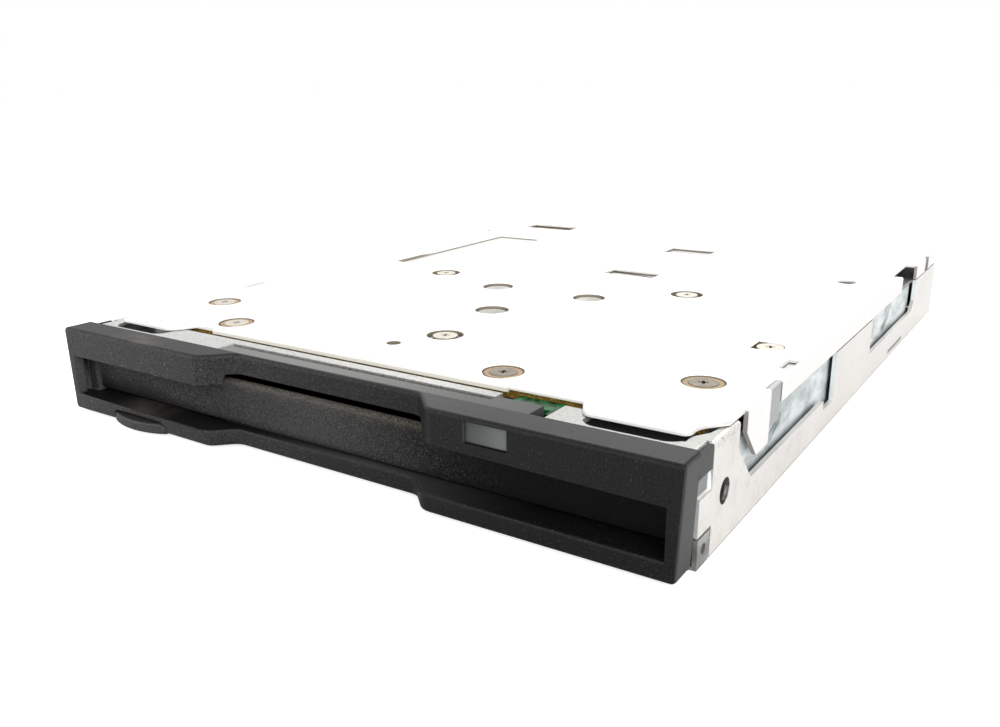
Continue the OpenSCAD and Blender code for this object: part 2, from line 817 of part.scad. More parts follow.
// Screws on the board [x, y] and screws of the motor base [x, y]
cover_spot = [cover_screw_x, cover_screw_y];
board_spots = [[board_screw_x, board_screw_y], [-board_screw_x, board_screw_y],
    [front_screw_x, front_screw_y], [left_screw_x, front_screw_y], cover_spot];
motor_spots = [for (a = [36, 156, 276]) [motor_screw_r * cos(a), spindle_y + motor_screw_r * sin(a)]];
rivet_spots = [for (a = [30, 150, 270]) [rivet_circle_r * cos(a), spindle_y + rivet_circle_r * sin(a)]];
bracket_spots = [for (k = [0, 1]) [screw_x, screw_front + bracket_screw_y + k * bracket_pitch]];
switch_spots = [[-switch_x, switch_y], [switch_x, switch_y], [switch_x - switch_pitch, switch_y]];

module placed() { translate([0, front_y, 0]) children(); }
module box(x0, x1, y0, y1, z0, z1) { translate([x0, y0, z0]) cube([x1 - x0, y1 - y0, z1 - z0]); }
module both() { children(); mirror([1, 0, 0]) children(); }
module rod_along_x(r, x0, x1, y, z) { translate([x0, y, z]) rotate([0, 90, 0]) cylinder(r = r, h = x1 - x0); }
module rod_along_y(r, y0, y1, x, z) { translate([x, y0, z]) rotate([-90, 0, 0]) cylinder(r = r, h = y1 - y0); }
module rod_along_z(r, z0, z1, p) { translate([p[0], p[1], z0]) cylinder(r = r, h = z1 - z0); }
module plan(z0, z1) { translate([0, 0, z0]) linear_extrude(z1 - z0) children(); }
module side_sheet(x0, x1) { translate([x0, 0, 0]) rotate([90, 0, 90]) linear_extrude(x1 - x0) children(); }
module face_sheet(y0, y1) { translate([0, y1, 0]) rotate([90, 0, 0]) linear_extrude(y1 - y0) children(); }
module area(x0, x1, y0, y1) { translate([x0, y0]) square([x1 - x0, y1 - y0]); }

// Helical wire along +Z: rings of points round each step of the helix
module coil(mean_r, wire, turns, length) {
    steps = round(turns * 10);
    sides = 6;
    rings = [for (i = [0 : steps]) let (a = 360 * turns * i / steps)
        [for (s = [0 : sides - 1]) let (t = 360 * s / sides, r = mean_r + wire / 2 * cos(t))
            [r * cos(a), r * sin(a), length * i / steps + wire / 2 * sin(t)]]];
    points = [for (ring = rings) for (p = ring) p];
    skin = [for (i = [0 : steps - 1]) for (s = [0 : sides - 1]) let (n = (s + 1) % sides)
        each [[i * sides + s, (i + 1) * sides + s, (i + 1) * sides + n],
              [i * sides + s, (i + 1) * sides + n, i * sides + n]]];
    first = [for (s = [1 : sides - 2]) [0, s, s + 1]];
    last = [for (s = [1 : sides - 2]) [steps * sides, steps * sides + s + 1, steps * sides + s]];
    polyhedron(points, concat(skin, first, last), convexity = 10);
}

// Threaded length of the lead screw along +Z, root and crest following the helix
module thread(length) {
    around = 24;
    steps = round(length / lead * around);
    function rise(a, z) = let (p = (z / lead - a / 360) - floor(z / lead - a / 360))
        p < 0.24 || p > 0.76 ? lead_root_r : lead_crest_r;
    points = concat(
        [for (i = [0 : steps]) for (k = [0 : around - 1]) let (a = 360 * k / around,
            z = length * i / steps, r = rise(a, z)) [r * cos(a), r * sin(a), z]],
        [[0, 0, 0], [0, 0, length]]);
    low = len(points) - 2;
    skin = [for (i = [0 : steps - 1]) for (k = [0 : around - 1]) let (n = (k + 1) % around)
        each [[i * around + k, (i + 1) * around + k, (i + 1) * around + n],
              [i * around + k, (i + 1) * around + n, i * around + n]]];
    ends = [for (k = [0 : around - 1]) let (n = (k + 1) % around)
        each [[low, k, n], [low + 1, steps * around + n, steps * around + k]]];
    polyhedron(points, concat(skin, ends), convexity = 10);
}

module finger_cut(depth) {
    polygon([[-finger_w / 2 - depth, -over], [finger_w / 2 + depth, -over], [finger_w / 2 + depth, 0],
        [finger_w / 2, depth], [-finger_w / 2, depth], [-finger_w / 2 - depth, 0]]);
}

module button_shape(grow) {
    w = button_w / 2 + grow;
    top = button_z + button_h + grow;
    r = button_r + grow;
    translate([button_x, 0]) {
        area(-w, w, button_z - grow, top - r);
        area(-w + r, w - r, button_z - grow, top);
        for (s = [-1, 1]) translate([s * (w - r), top - r]) intersection() {
            circle(r);
            area(-r, r, 0, r);
        }
    }
}

module front_bezel() color("#3a3b3e") {
    difference() {
        union() {
            face_sheet(0, bezel_d) polygon([[-half_w + bezel_draft, bezel_foot],
                [half_w - bezel_draft, bezel_foot], [half_w + bezel_draft, bezel_top],
                [-half_w - bezel_draft, bezel_top]]);
            box(-finger_w / 2 - finger_d, led_x, bezel_d - over, roof_y, rebate_z, bezel_top);
            box(led_x - led_w / 2 - led_wall, led_x + led_w / 2 + seam, bezel_d - over, led_back, rebate_z,
                bezel_top);
            both() box(wall_in + seam, half_w, bezel_d - over, bezel_d + ear_l, ear_z, ear_z + ear_h);
        }
        box(-half_w + bezel_end, half_w - bezel_end, -over, bezel_wall + fine, low_z, up_z);
        box(-wall_in - seam, wall_in + seam, bezel_wall, bezel_d + over, low_z, up_z);
        box(-wall_in - seam, wall_in + seam, rebate_y, bezel_d + over, low_z, rebate_z);
        plan(low_z + seam, body_h + over) finger_cut(finger_d);
        plan(-over, low_z + seam + fine) finger_cut(finger_low_d);
        box(led_x - led_w / 2, led_x + led_w / 2, -over, lens_inset + lens_t + seam, lamp_z0, lamp_z1);
        box(led_x - led_w / 2 + led_wall, led_x + led_w / 2 - led_wall, 0, led_back + over,
            rebate_z + led_floor, lamp_z1 - led_roof);
        face_sheet(-over, bezel_d + over) button_shape(button_gap);
        box(button_x - button_w / 2 - button_gap, button_x + button_w / 2 + button_gap, -over,
            bezel_d + over, 0, button_z + seam);
    }
    both() difference() {
        union() {
            box(lug_in, wall_in + 2 * seam, flap_axis_y - lug_d / 2, bezel_d, low_z - seam, flap_axis_z);
            box(lug_in, wall_in + 2 * seam, flap_axis_y - lug_d / 2, flap_axis_y + lug_d / 2,
                flap_axis_z - flap_room, rebate_z + seam);
        }
        rod_along_x(flap_pin_r + pin_clear, lug_in - over, flap_half + flap_pin_l + seam, flap_axis_y,
            flap_axis_z);
    }
}

module slot_flap() color("#46474a") {
    difference() {
        side_sheet(-flap_half, flap_half) {
            translate([flap_axis_y, flap_axis_z]) circle(flap_r);
            polygon([[flap_y, flap_axis_z], [flap_y, low_z + 2 * flap_gap],
                [flap_y + flap_gap, low_z + flap_gap], [flap_y + flap_t - flap_gap, low_z + flap_gap],
                [flap_y + flap_t, low_z + 2 * flap_gap], [flap_y + flap_t, flap_axis_z]]);
        }
        box(-flap_half - over, -flap_half + flap_spring_w, 0, 2 * bezel_d,
            flap_axis_z - flap_spring_h, body_h);
    }
    rod_along_x(flap_pin_r, -flap_half - flap_pin_l, -flap_half + flap_spring_w + over, flap_axis_y,
        flap_axis_z);
    rod_along_x(flap_pin_r, flap_half - over, flap_half + flap_pin_l, flap_axis_y, flap_axis_z);
}

module flap_spring() color("#b9bcc0") {
    translate([-flap_half + seam, flap_axis_y, flap_axis_z]) rotate([0, 90, 0])
        coil(flap_pin_r + spring_wire / 2 + pin_clear, spring_wire, 3, flap_spring_w - 3 * seam);
}

module eject_button() color("#2f3033") difference() {
    bow_r = (button_w * button_w / 4 + button_proud * button_proud) / (2 * button_proud);
    union() {
        intersection() {
            face_sheet(-button_proud, rebate_y) button_shape(0);
            rod_along_z(bow_r, 0, low_z, [button_x, bow_r - button_proud]);
        }
        box(button_x - tongue_w / 2 - shank_wall, button_x + tongue_w / 2 + shank_wall, rebate_y - over,
            shank_end, button_z + clear, button_z + button_h);
    }
    box(button_x - tongue_w / 2, button_x + tongue_w / 2, rebate_y, shank_end + over, slider_z - tongue_step,
        slider_z - tongue_step + slider_t);
}

module lamp_lens() color("#c9ccce") {
    box(led_x - led_w / 2 + seam, led_x + led_w / 2 - seam, lens_inset, lens_inset + lens_t,
        lamp_z0 + seam, lamp_z1 - seam);
    side = led_w / 2 - led_wall - seam;
    box(led_x - side, led_x + side, lens_inset + lens_t - fine, led_back - seam,
        rebate_z + led_floor + seam, lamp_z1 - led_roof - seam);
}

module lamp_holder() color("#3f8f58") {
    right = led_x + holder_off + holder_w / 2;
    box(right - holder_w, right, led_back + holder_gap, board_front + holder_lap, web_top + seam, board_z);
    box(right - holder_leg, right, bezel_d + holder_leg, led_back + over, board_z - holder_leg, board_z);
    box(right - holder_w, right, led_back + 3 * holder_gap, board_front - sheet_gap, board_z - fine,
        board_z + holder_rise);
    box(right - holder_leg, right, led_back, board_front - sheet_gap, board_z - fine, board_z + holder_leg);
}

module wall_outline() {
    win1_end = win1_y + win1_l;
    win2_end = win2_y + win2_l;
    polygon([[wall_foot_y, 0], [body_d, 0], [body_d, web_top], [win2_end, web_top],
        [win2_end, win_z + win_cut_h], [win2_end - win_cut_l, win_z], [win2_y, win_z], [win2_y, web_top],
        [win1_end, web_top], [win1_end, win_z - win_step_h], [win1_end - win_step_l, win_z - win_step_h],
        [win1_end - win_step_l, win_z], [win1_y + win_slope, win_z], [win1_y, win_slope_z],
        [win1_y, strip_z + frame_t], [wall_top_y, strip_z + frame_t], [wall_top_y, nose_z1],
        [nose_y, nose_z1], [nose_y, nose_z0], [wall_foot_y, nose_z0]]);
}

// Round inner corner of a sheet, filled towards +x or -x
module fillet(x, y, r, side) {
    difference() {
        translate([x + side * r / 2, y + r / 2]) square(r + 2 * fine, center = true);
        translate([x + side * r, y + r]) circle(r);
        translate([x + side * 1.5 * r, y + r / 2]) square(r, center = true);
        translate([x, y + 1.5 * r]) square(2 * r, center = true);
    }
}

module main_frame() color("#d8dadb") difference() {
    strip_y0 = bezel_d + strip_gap;
    roof_x = finger_w / 2 + finger_d + roof_step;
    rod_tab = 2.2 * rod_r;
    clip_x = half_w - seam - clip_t;
    shield_x = beam_w / 2 + post_d + 2 * shield_t;
    union() {
        both() side_sheet(wall_in, half_w) difference() {
            wall_outline();
            translate([mount_y, mount_z]) circle(mount_r);
            area(win2_y + hook_y - hook_gap, win2_y + hook_y + hook_l + hook_gap, hook_z - seam,
                hook_z + hook_t + seam);
        }
        both() difference() {
            rod_along_x(mount_r + mount_collar, wall_in - wall_gap + seam, wall_in + fine, mount_y, mount_z);
            rod_along_x(mount_r, wall_in - over, half_w, mount_y, mount_z);
        }
        both() box(wall_in - nose_tab_t, wall_in + fine, nose_y + nose_tab_t, wall_foot_y + clear,
            nose_z1 - sheet_gap, ear_z);
        both() box(spring_x - stop_w / 2, wall_in + fine, spring_y - stop_t, spring_y, slider_z - spring_od,
            slider_z - clear);
        both() box(clip_x, clip_x + clip_t, win1_y + clip_y, win1_y + clip_y + clip_l, plate_z - clip_drop,
            body_h - seam);
        both() box(wall_in - edge_slot_w, wall_in - seam, edge_slot_y, edge_slot_y + edge_slot_l,
            web_top - fine, plate_z - seam);
        plan(board_top - shield_t, board_top) difference() {
            area(port_x - shield_lap, shield_x, port_a, port_b + port2_l + shield_lap);
            motor_plan(motor_gap);
        }
        box(shield_x - shield_t, shield_x, port_a + port_l, port_b, web_top - fine, board_top - fine);
        plan(web_z, web_top) difference() {
            union() {
                area(-wall_in - fine, wall_in + fine, web_front, win1_y);
                area(-wall_in + sheet_gap, wall_in - sheet_gap, win1_y - fine, body_d);
                area(-half_w + seam, half_w - seam, win1_y + clip_y, win1_y + clip_y + clip_l);
                for (s = [win1_y + win1_l, win2_y + win2_l]) {
                    area(-half_w, half_w, s, s == win1_y + win1_l ? win2_y : body_d);
                }
            }
            translate([0, spindle_y]) circle(rotor_r + web_gap);
            translate(sight2_spot) circle(sight2_r);
            area(rod_x - bush_r - clip_t, beam_w / 2 + post_d, spindle_y + board_cut_y, rear_in);
            area(screw_x - stepper_r - stepper_gap, screw_x + stepper_r + stepper_gap, motor_y - stepper_gap,
                rear_in);
            area(conn_end - conn_w - conn_gap, conn_end + conn_gap, rear_in - conn_inset - conn_d - conn_gap,
                body_d + over);
            for (p = switch_spots) translate(p) square(switch_w + 2 * clear, center = true);
        }
        plan(strip_z, strip_z + frame_t) {
            both() polygon([[strip_x, strip_y0], [wall_in - clear, strip_y0],
                [wall_in - clear, wall_top_y + seam], [half_w, wall_top_y + seam], [half_w, win1_y],
                [wall_in, win1_y], [strip_end + wing_in, wing_y], [strip_end, strip_y + strip_r],
                [strip_end, strip_y], [strip_x, strip_y]]);
            both() fillet(strip_x, strip_y, strip_r, 1);
            both() fillet(strip_end, strip_y, strip_r, -1);
            area(led_x + lamp_step, strip_x + fine, strip_y0, strip_back);
            area(-strip_x - fine, -roof_x, strip_y0, strip_back);
            area(-roof_x - fine, plate_right, roof_y + roof_gap, strip_back);
        }
        box(conn_end + 2 * conn_gap, half_w, rear_in, body_d, cover_t + seam, web_top);
        box(-half_w, half_w, rear_in, body_d, cover_t + seam, board_z - conn_h - conn_gap);
        box(rod_x - rod_tab, rod_x + rod_tab, rod_y, rod_y + frame_t, rod_z - 1.4 * rod_r, web_top - fine);
        box(rod_x - 3 * rod_tab, rod_x + rod_tab, rod_y, rod_y + frame_t, web_z, web_top - fine);
        for (p = board_spots) rod_along_z(boss_r, web_top - fine, board_z, p);
        for (p = motor_spots) rod_along_z(boss_r, web_top - fine, motor_low, p);
    }
    for (p = concat(board_spots, motor_spots)) rod_along_z(screw_r + fine, web_z - over, body_h, p);
    for (s = [-1, 1]) rod_along_z(post_r + fine, web_z - over, web_top + over, [s * post_x, post_y]);
    for (p = bracket_spots) rod_along_z(screw_r + fine, web_z - over, web_top + over, p);
    rod_along_y(rod_r + fine, screw_front - over, body_d + over, rod_x, rod_z);
}

module disk_cover() color("#dcdedf") {
    front = bezel_d + 4 * seam;
    box(-wall_in + seam, wall_in - seam, front, rear_in - seam, 0, cover_t);
    both() difference() {
        union() {
            box(wall_in - over, half_w, front + clear, latch_end, 0, cover_t);
            box(wall_in + seam, half_w, front + clear, latch_end, 0, latch_h);
        }
        rod_along_x(latch_r, wall_in - over, half_w + over, bezel_d + latch_y, latch_z);
    }
    both() {
        near = win2_y + hook_y;
        box(wall_in - hook_t, wall_in - seam, near, near + hook_l, 0, hook_z + hook_t);
        box(wall_in - hook_t, half_w - seam, near, near + hook_l, hook_z, hook_z + hook_t);
    }
}

module cover_outline() {
    edge = half_w - edge_inset;
    shoulder_x = wall_in - shoulder_in;
    half = [[shoulder_x, plate_front], [shoulder_x, shoulder_y0], [edge, shoulder_y1], [edge, tab_y],
        [half_w, tab_y], [half_w, body_d]];
    polygon(concat([[left_slant, plate_front], [left_notch, plate_notch_y], [plate_left, plate_notch_y],
        [plate_left, plate_lip_y], [plate_right, plate_lip_y], [plate_right, plate_notch_y],
        [right_notch, plate_notch_y], [right_slant, plate_front]], half,
        [for (i = [5 : -1 : 0]) [-half[i][0], half[i][1]]]));
}

module cover_holes() {
    for (p = concat([for (i = [0 : 3]) board_spots[i]], motor_spots, rivet_spots))
        translate(p) circle(access_r);
    translate([sight_x, sight_y]) circle(sight_r);
    translate(sight2_spot) circle(sight2_r);
    area(port_x, port_x + port_w, port_a, port_a + port_l);
    area(port_x, port_x + port_w, port_b, port_b + port2_l);
    area(label_x, label_x + label_w, label_y, label_y + label_l);
    area(cable_x, cable_x + cable_w, body_d - cable_back, body_d - cable_back + cable_l);
    both() area(wall_in - edge_slot_w, half_w - plate_t, edge_slot_y, edge_slot_y + edge_slot_l);
    translate(cover_spot) {
        circle(screw_head_r + seam);
        area(-pry_l, -screw_head_r / 2, -pry_w, pry_w);
    }
    both() area(half_w - gap_in, half_w + over, body_d - gap_back, body_d - gap_back + gap_l);
    both() area(wall_in - clear, half_w + over, body_d - notch_back, body_d - notch_back + notch_l);
    both() area(half_w - clip_t - 2 * seam, half_w + over, tab_y + tab_w, win1_y + flange_start);
}

module circuit_cover() color("#e4e5e6") {
    flange_z = web_top + flange_gap;
    plan(plate_z, body_h) difference() {
        cover_outline();
        cover_holes();
    }
    both() side_sheet(half_w - plate_t, half_w) {
        area(win1_y + flange_start, body_d - gap_back, flange_z, plate_z + fine);
        area(body_d - gap_back + gap_l, body_d - notch_back, flange_z, plate_z + fine);
        area(body_d - notch_back + notch_l, body_d - plate_t - sheet_gap, flange_z, plate_z + fine);
        polygon([[tab_y, plate_z + fine], [tab_y, plate_z - tab_edge], [tab_y + tab_slant, body_h - tab_drop],
            [tab_y + tab_w, body_h - tab_drop], [tab_y + tab_w, plate_z + fine]]);
    }
    box(plate_left, plate_right, plate_lip_y, plate_lip_y + plate_t, plate_z - plate_flange, plate_z + fine);
    box(-half_w + plate_t, half_w - plate_t, body_d - plate_t, body_d, flange_z, plate_z + fine);
}

// Motor base outline, grown by the gap that its neighbours keep
module motor_plan(grow) {
    translate([0, spindle_y]) circle(motor_base_r + grow);
    for (p = motor_spots) translate(p) circle(screw_head_r + motor_ear + grow);
}

module board_outline() difference() {
    area(-wall_in + board_side, wall_in - board_side, board_front, rear_in - board_back);
    motor_plan(motor_gap);
    area(board_cut_x, half_w, spindle_y + board_cut_y, body_d);
    translate([sight_x, sight_y]) circle(sight_r);
}

module circuit_board() color("#a9793a") plan(board_z, board_top) difference() {
    board_outline();
    for (p = board_spots) translate(p) circle(screw_r + seam);
}

module insulating_film() color("#e9e6da") plan(board_top, plate_z) difference() {
    board_outline();
    area(-half_w, half_w, 0, board_front + film_inset);
    area(label_x - film_gap, label_x + label_w + film_gap, label_y - film_gap, label_y + label_l + film_gap);
    area(cable_x - film_gap, cable_x + cable_w + film_gap, body_d - cable_back - film_gap,
        body_d - cable_back + cable_l + film_gap);
    for (p = board_spots) translate(p) circle(access_r + film_gap / 2);
}

module blank_label() color("#f4f4f2")
    plan(board_top, board_top + film_t / 2) area(label_x - label_lap, label_x + label_w + label_lap,
        label_y - label_lap, label_y + label_l + label_lap);

module screw(p, bottom) {
    difference() {
        rod_along_z(screw_head_r, board_top, body_h, p);
        for (a = [20, 110]) translate([p[0], p[1], body_h]) rotate(a)
            cube([recess_l, recess_w, 2 * recess_d], center = true);
    }
    rod_along_z(screw_r, bottom, board_top + fine, p);
}

module board_screws() color("#c8c4ba") for (p = board_spots) screw(p, web_z + seam);
module fibre_rings() color("#a5762f") for (i = [0 : 3]) difference() {
    rod_along_z(access_r - seam, board_top, board_top + ring_h, board_spots[i]);
    rod_along_z(screw_head_r + fine, board_z, body_h, board_spots[i]);
}
module motor_screws() color("#c8c4ba") for (p = motor_spots) screw(p, web_z + seam);

module motor_base() color("#c3c6c8") plan(motor_low, board_top) difference() {
    motor_plan(0);
    translate([0, spindle_y]) circle(sleeve_r + fine);
    for (p = motor_spots) translate(p) circle(screw_r + seam);
    for (p = rivet_spots) translate(p) circle(rivet_r + fine);
}

module bearing_rivets() color("#dfe0e0") for (p = rivet_spots) {
    rod_along_z(rivet_cap_r, board_top, board_top + rivet_cap_t, p);
    rod_along_z(rivet_r, motor_low - flange_t, board_top + fine, p);
}

module spindle_bearing() color("#b08d4a") difference() {
    union() {
        rod_along_z(rivet_circle_r + flange_rim, motor_low - flange_t, motor_low, [0, spindle_y]);
        rod_along_z(sleeve_r, web_z, board_top, [0, spindle_y]);
    }
    rod_along_z(shaft_r + shaft_clear, web_z - over, body_h, [0, spindle_y]);
    for (p = rivet_spots) rod_along_z(rivet_r + fine, web_z, body_h, p);
}

// Rotor, stator and hub heights hang from the motor base
rotor_z = web_z - rotor_drop;
core_z = web_z + core_rise;
rim_in = rotor_r - rotor_t - rim_extra;
pole_r = rim_in - magnet_t - air_gap;

module stator_core() color("#55585c") translate([0, spindle_y, 0]) plan(core_z, core_z + core_t) {
    difference() {
        union() {
            circle(yoke_r);
            for (k = [0 : poles - 1]) rotate(360 * k / poles)
                area(0, pole_r - shoe_t / 2, -pole_w / 2, pole_w / 2);
            for (k = [0 : poles - 1]) rotate(360 * k / poles) intersection() {
                difference() {
                    circle(pole_r);
                    circle(pole_r - shoe_t);
                }
                area(0, pole_r + over, -shoe_w / 2, shoe_w / 2);
            }
        }
        circle(sleeve_r + fine);
    }
}

module stator_coils() color("#b5642f") translate([0, spindle_y, 0])
    for (k = [0 : poles - 1]) rotate(360 * k / poles) difference() {
        box(yoke_r + winding_t, pole_r - shoe_t - 2 * winding_h, -pole_w / 2 - winding_t,
            pole_w / 2 + winding_t, core_z - winding_h, core_z + core_t + winding_h);
        box(yoke_r, pole_r, -pole_w / 2 - fine, pole_w / 2 + fine, core_z - fine, core_z + core_t + fine);
    }

module rotor_cup() color("#a9acaf") difference() {
    rod_along_z(rotor_r, rotor_z, motor_low - rotor_gap, [0, spindle_y]);
    rod_along_z(rim_in, rotor_z + rotor_t, body_h, [0, spindle_y]);
    rod_along_z(shaft_r, rotor_z - over, body_h, [0, spindle_y]);
}

module rotor_magnet() color("#333438") difference() {
    rod_along_z(rim_in, rotor_z + rotor_t, motor_low - 1.5 * rotor_gap, [0, spindle_y]);
    rod_along_z(rim_in - magnet_t, web_z - over, body_h, [0, spindle_y]);
}

module spindle_shaft() color("#d0d2d4")
    rod_along_z(shaft_r, rotor_z - hub_t - shaft_tip, board_top - seam, [0, spindle_y]);

module spindle_hub() color("#8d9093") difference() {
    rod_along_z(hub_r, rotor_z - hub_t, rotor_z, [0, spindle_y]);
    rod_along_z(shaft_r, 0, body_h, [0, spindle_y]);
    rod_along_z(drive_pin_r, 0, body_h, [hub_r - drive_pin_in, spindle_y]);
}

module drive_pin() color("#c9b27a")
    rod_along_z(drive_pin_r, rotor_z - hub_t - drive_pin_l, rotor_z, [hub_r - drive_pin_in, spindle_y]);

module disk_cage() color("#c9cccd") {
    rear = disk_end - cage_t - clear;
    difference() {
        plan(cage_z, disk_z) difference() {
            union() {
                area(-cage_out, cage_out, cage_front, rear);
                both() area(cage_ear_x, cage_out, rear - fine, post_y + cage_ear_l);
            }
            area(-head_window / 2, head_window / 2, spindle_y + head_window, body_d);
            both() translate([post_x, post_y]) circle(post_r + seam);
            translate([lever_x, lever_y]) {
                circle(lever_pivot_r + fine);
                intersection() {
                    difference() {
                        circle(lever_l + lever_pin_r + lever_gap);
                        circle(lever_l - lever_pin_r - lever_gap);
                    }
                    polygon([[0, 0], for (a = [lever_rest - slot_over, 0,
                        lever_rest + lever_swing + slot_over]) 2 * lever_l * [cos(a), sin(a)]]);
                }
            }
        }
    }
    both() {
        side_sheet(cage_in, cage_out) area(cage_front, post_y + cage_ear_l, cage_z, lip_z + cage_t);
        box(cage_out - cage_lip, cage_out, cage_front, rear, lip_z, lip_z + cage_t);
        for (y = [cam_front_y, cam_front_y + cam_pitch])
            rod_along_x(cam_pin_r, cage_out - fine, slider_out - pin_clear, y, disk_z + cam_rise);
    }
}

module guide_posts() color("#b7babd")
    for (s = [-1, 1]) rod_along_z(post_r, cover_t + clear, web_top, [s * post_x, post_y]);

module cam_slot() {
    r = cam_pin_r + pin_clear;
    run = sqrt(eject_travel * eject_travel + cage_lift * cage_lift);
    circle(r);
    rotate(atan2(cage_lift, eject_travel)) translate([0, fine - r]) square([run, 2 * (r - fine)]);
    translate([eject_travel, cage_lift]) circle(r);
}

module eject_slider() color("#aeb2b4") {
    front = win1_y + clear;
    back = win2_y + win2_l;
    tongue = slider_z - tongue_step;
    plan(slider_z, slider_z + slider_t) {
        area(-slider_out, slider_out, front, front + slider_bar);
        both() area(spring_x - 0.75 * stop_w, slider_out, front, spring_y + spring_l + slider_leg);
        both() area(slider_out - slider_rail, slider_out, front, back);
        area(button_x - tongue_w / 2, button_x + tongue_w / 2, cage_front, front + fine);
    }
    both() side_sheet(slider_in, slider_out) difference() {
        area(front, back, slider_z, web_z - sheet_gap);
        for (y = [cam_front_y, cam_front_y + cam_pitch]) translate([y, disk_z + cam_rise]) cam_slot();
    }
    both() box(spring_x - stop_w * 0.4, spring_x + stop_w * 0.4, spring_y + spring_l,
        spring_y + spring_l + slider_t, cover_t + clear, slider_z + fine);
    box(button_x - tongue_w / 2, button_x + tongue_w / 2, rebate_y, cage_front + slider_t, tongue,
        tongue + slider_t);
    box(button_x - tongue_w / 2, button_x + tongue_w / 2, cage_front, cage_front + slider_t, tongue,
        slider_z + slider_t);
}

module eject_springs() color("#c4c7ca") both()
    translate([spring_x, spring_y + spring_wire / 2, slider_z - clear / 2 - spring_od / 2])
        rotate([-90, 0, 0])
            coil((spring_od - spring_wire) / 2, spring_wire, spring_turns, spring_l - spring_wire);

module lever_arm(angle) { rotate(angle) translate([lever_l, 0]) children(); }

module trigger_lever() color("#9fa3a6") translate([lever_x, lever_y, 0]) {
    plan(lever_z, lever_z + lever_t) difference() {
        union() {
            circle(lever_boss_r);
            rotate(lever_rest) polygon([[0, -lever_boss_r], [lever_l, -lever_tip_r], [lever_l, lever_tip_r],
                [0, lever_boss_r]]);
            lever_arm(lever_rest) circle(lever_tip_r);
        }
        circle(lever_pivot_r + pin_clear);
    }
    lever_arm(lever_rest) rod_along_z(lever_pin_r, lever_z, lip_z - cage_t, [0, 0]);
}

module lever_rivet() color("#d0d2d4") translate([lever_x, lever_y, 0]) {
    rod_along_z(lever_pivot_r, rivet_z, disk_z, [0, 0]);
    rod_along_z(rivet_head_r, rivet_z - rivet_head_t, rivet_z, [0, 0]);
}

module lever_spring() color("#c4c7ca") translate([lever_x, lever_y, rivet_z + spring_wire])
    coil(lever_pivot_r + spring_wire / 2 + pin_clear, spring_wire, lever_turns,
        lever_z - rivet_z - seam - 2 * spring_wire);

beam_z = web_top - seam - beam_t;
arm_y = carriage_y + post_d / 2;
arm_low = arm_z - arm_drop;
follower_y = arm_y - clear;
fork_in = arm_w / 2 + fork_gap;
fork_out = fork_in + fork_w;

module head_carriage() color("#d3d4d1") difference() {
    union() {
        top = beam_z + beam_t;
        box(-beam_w / 2, beam_w / 2, head_y - head_l / 2 - beam_end, carriage_y + fine, beam_z, top);
        box(rod_x - bush_r, fork_out, carriage_y, carriage_y + post_d, arm_z + arm_eye_r + seam, top);
        box(rod_x - bush_r, rod_x + bush_r, carriage_y, carriage_y + bush_l, rod_z - bush_r, top - rod_rise);
        both() box(fork_in, fork_out, arm_y - fork_d, arm_y + fork_d, arm_z - arm_eye_r - seam,
            arm_z + arm_eye_r + clear);
        box(fork_out - seam, screw_x - lead_crest_r - follower_gap, follower_y - follower_d / 2,
            follower_y + follower_d / 2, drive_z - follower_t / 2, drive_z + follower_t / 2);
        rod_along_x(follower_r, screw_x - lead_crest_r - follower_gap - seam, screw_x - lead_root_r - seam,
            follower_y, drive_z);
    }
    rod_along_y(rod_r + rod_clear, carriage_y - over, carriage_y + bush_l + over, rod_x, rod_z);
    rod_along_x(arm_pin_r, -fork_out - over, fork_out + over, arm_y, arm_z);
}

module head_block(z0, z1) { box(-head_w / 2, head_w / 2, head_y - head_l / 2, head_y + head_l / 2, z0, z1); }

module fixed_head() color("#3c3f45") head_block(disk_z + disk_t / 2 + cage_lift + head_gap, beam_z);

module head_arm() color("#c2c5c7") difference() {
    union() {
        box(-arm_w / 2, arm_w / 2, head_y - head_l / 2 - arm_t, arm_y - arm_t / 2, arm_low, arm_low + arm_t);
        box(-arm_w / 2, arm_w / 2, arm_y - arm_eye_r - over, arm_y, arm_low, arm_z);
        rod_along_x(arm_eye_r, -arm_w / 2, arm_w / 2, arm_y, arm_z);
    }
    rod_along_x(arm_pin_r + pin_clear, -arm_w, arm_w, arm_y, arm_z);
    box(-arm_pocket / 2, arm_pocket / 2, arm_y - 2 * arm_eye_r, arm_y + 2 * arm_eye_r,
        arm_z - arm_eye_r - seam, arm_z + 2 * arm_eye_r);
}

module arm_head() color("#3c3f45") head_block(arm_low + arm_t, arm_low + 2 * arm_t - seam);

module arm_pin() color("#d0d2d4") rod_along_x(arm_pin_r, -fork_out, fork_out, arm_y, arm_z);

module arm_spring() color("#c4c7ca") translate([-0.4 * arm_pocket, arm_y, arm_z]) rotate([0, 90, 0])
    coil(arm_pin_r + spring_wire / 2 + pin_clear, spring_wire, 3, 0.8 * arm_pocket);

module guide_rod() color("#d6d8da") rod_along_y(rod_r, rod_y, body_d, rod_x, rod_z);

module stepping_motor() color("#b4b7ba") difference() {
    rod_along_y(stepper_r, motor_y, motor_y + stepper_l, screw_x, drive_z);
    rod_along_y(journal_r + pin_clear, motor_y - over, motor_y + stepper_l - journal_r, screw_x, drive_z);
}

module lead_screw() color("#c7c9cb") {
    start = screw_front + 2 * bracket_t;
    stop = motor_y - 2 * bracket_t;
    turn = 360 * (follower_y - start) / lead;
    translate([screw_x, start, drive_z]) rotate([-90, 0, 0]) rotate(180 - turn) thread(stop - start);
    rod_along_y(journal_r, screw_front, start + fine, screw_x, drive_z);
    rod_along_y(journal_r, stop - fine, motor_y + stepper_l - journal_r - clear, screw_x, drive_z);
}

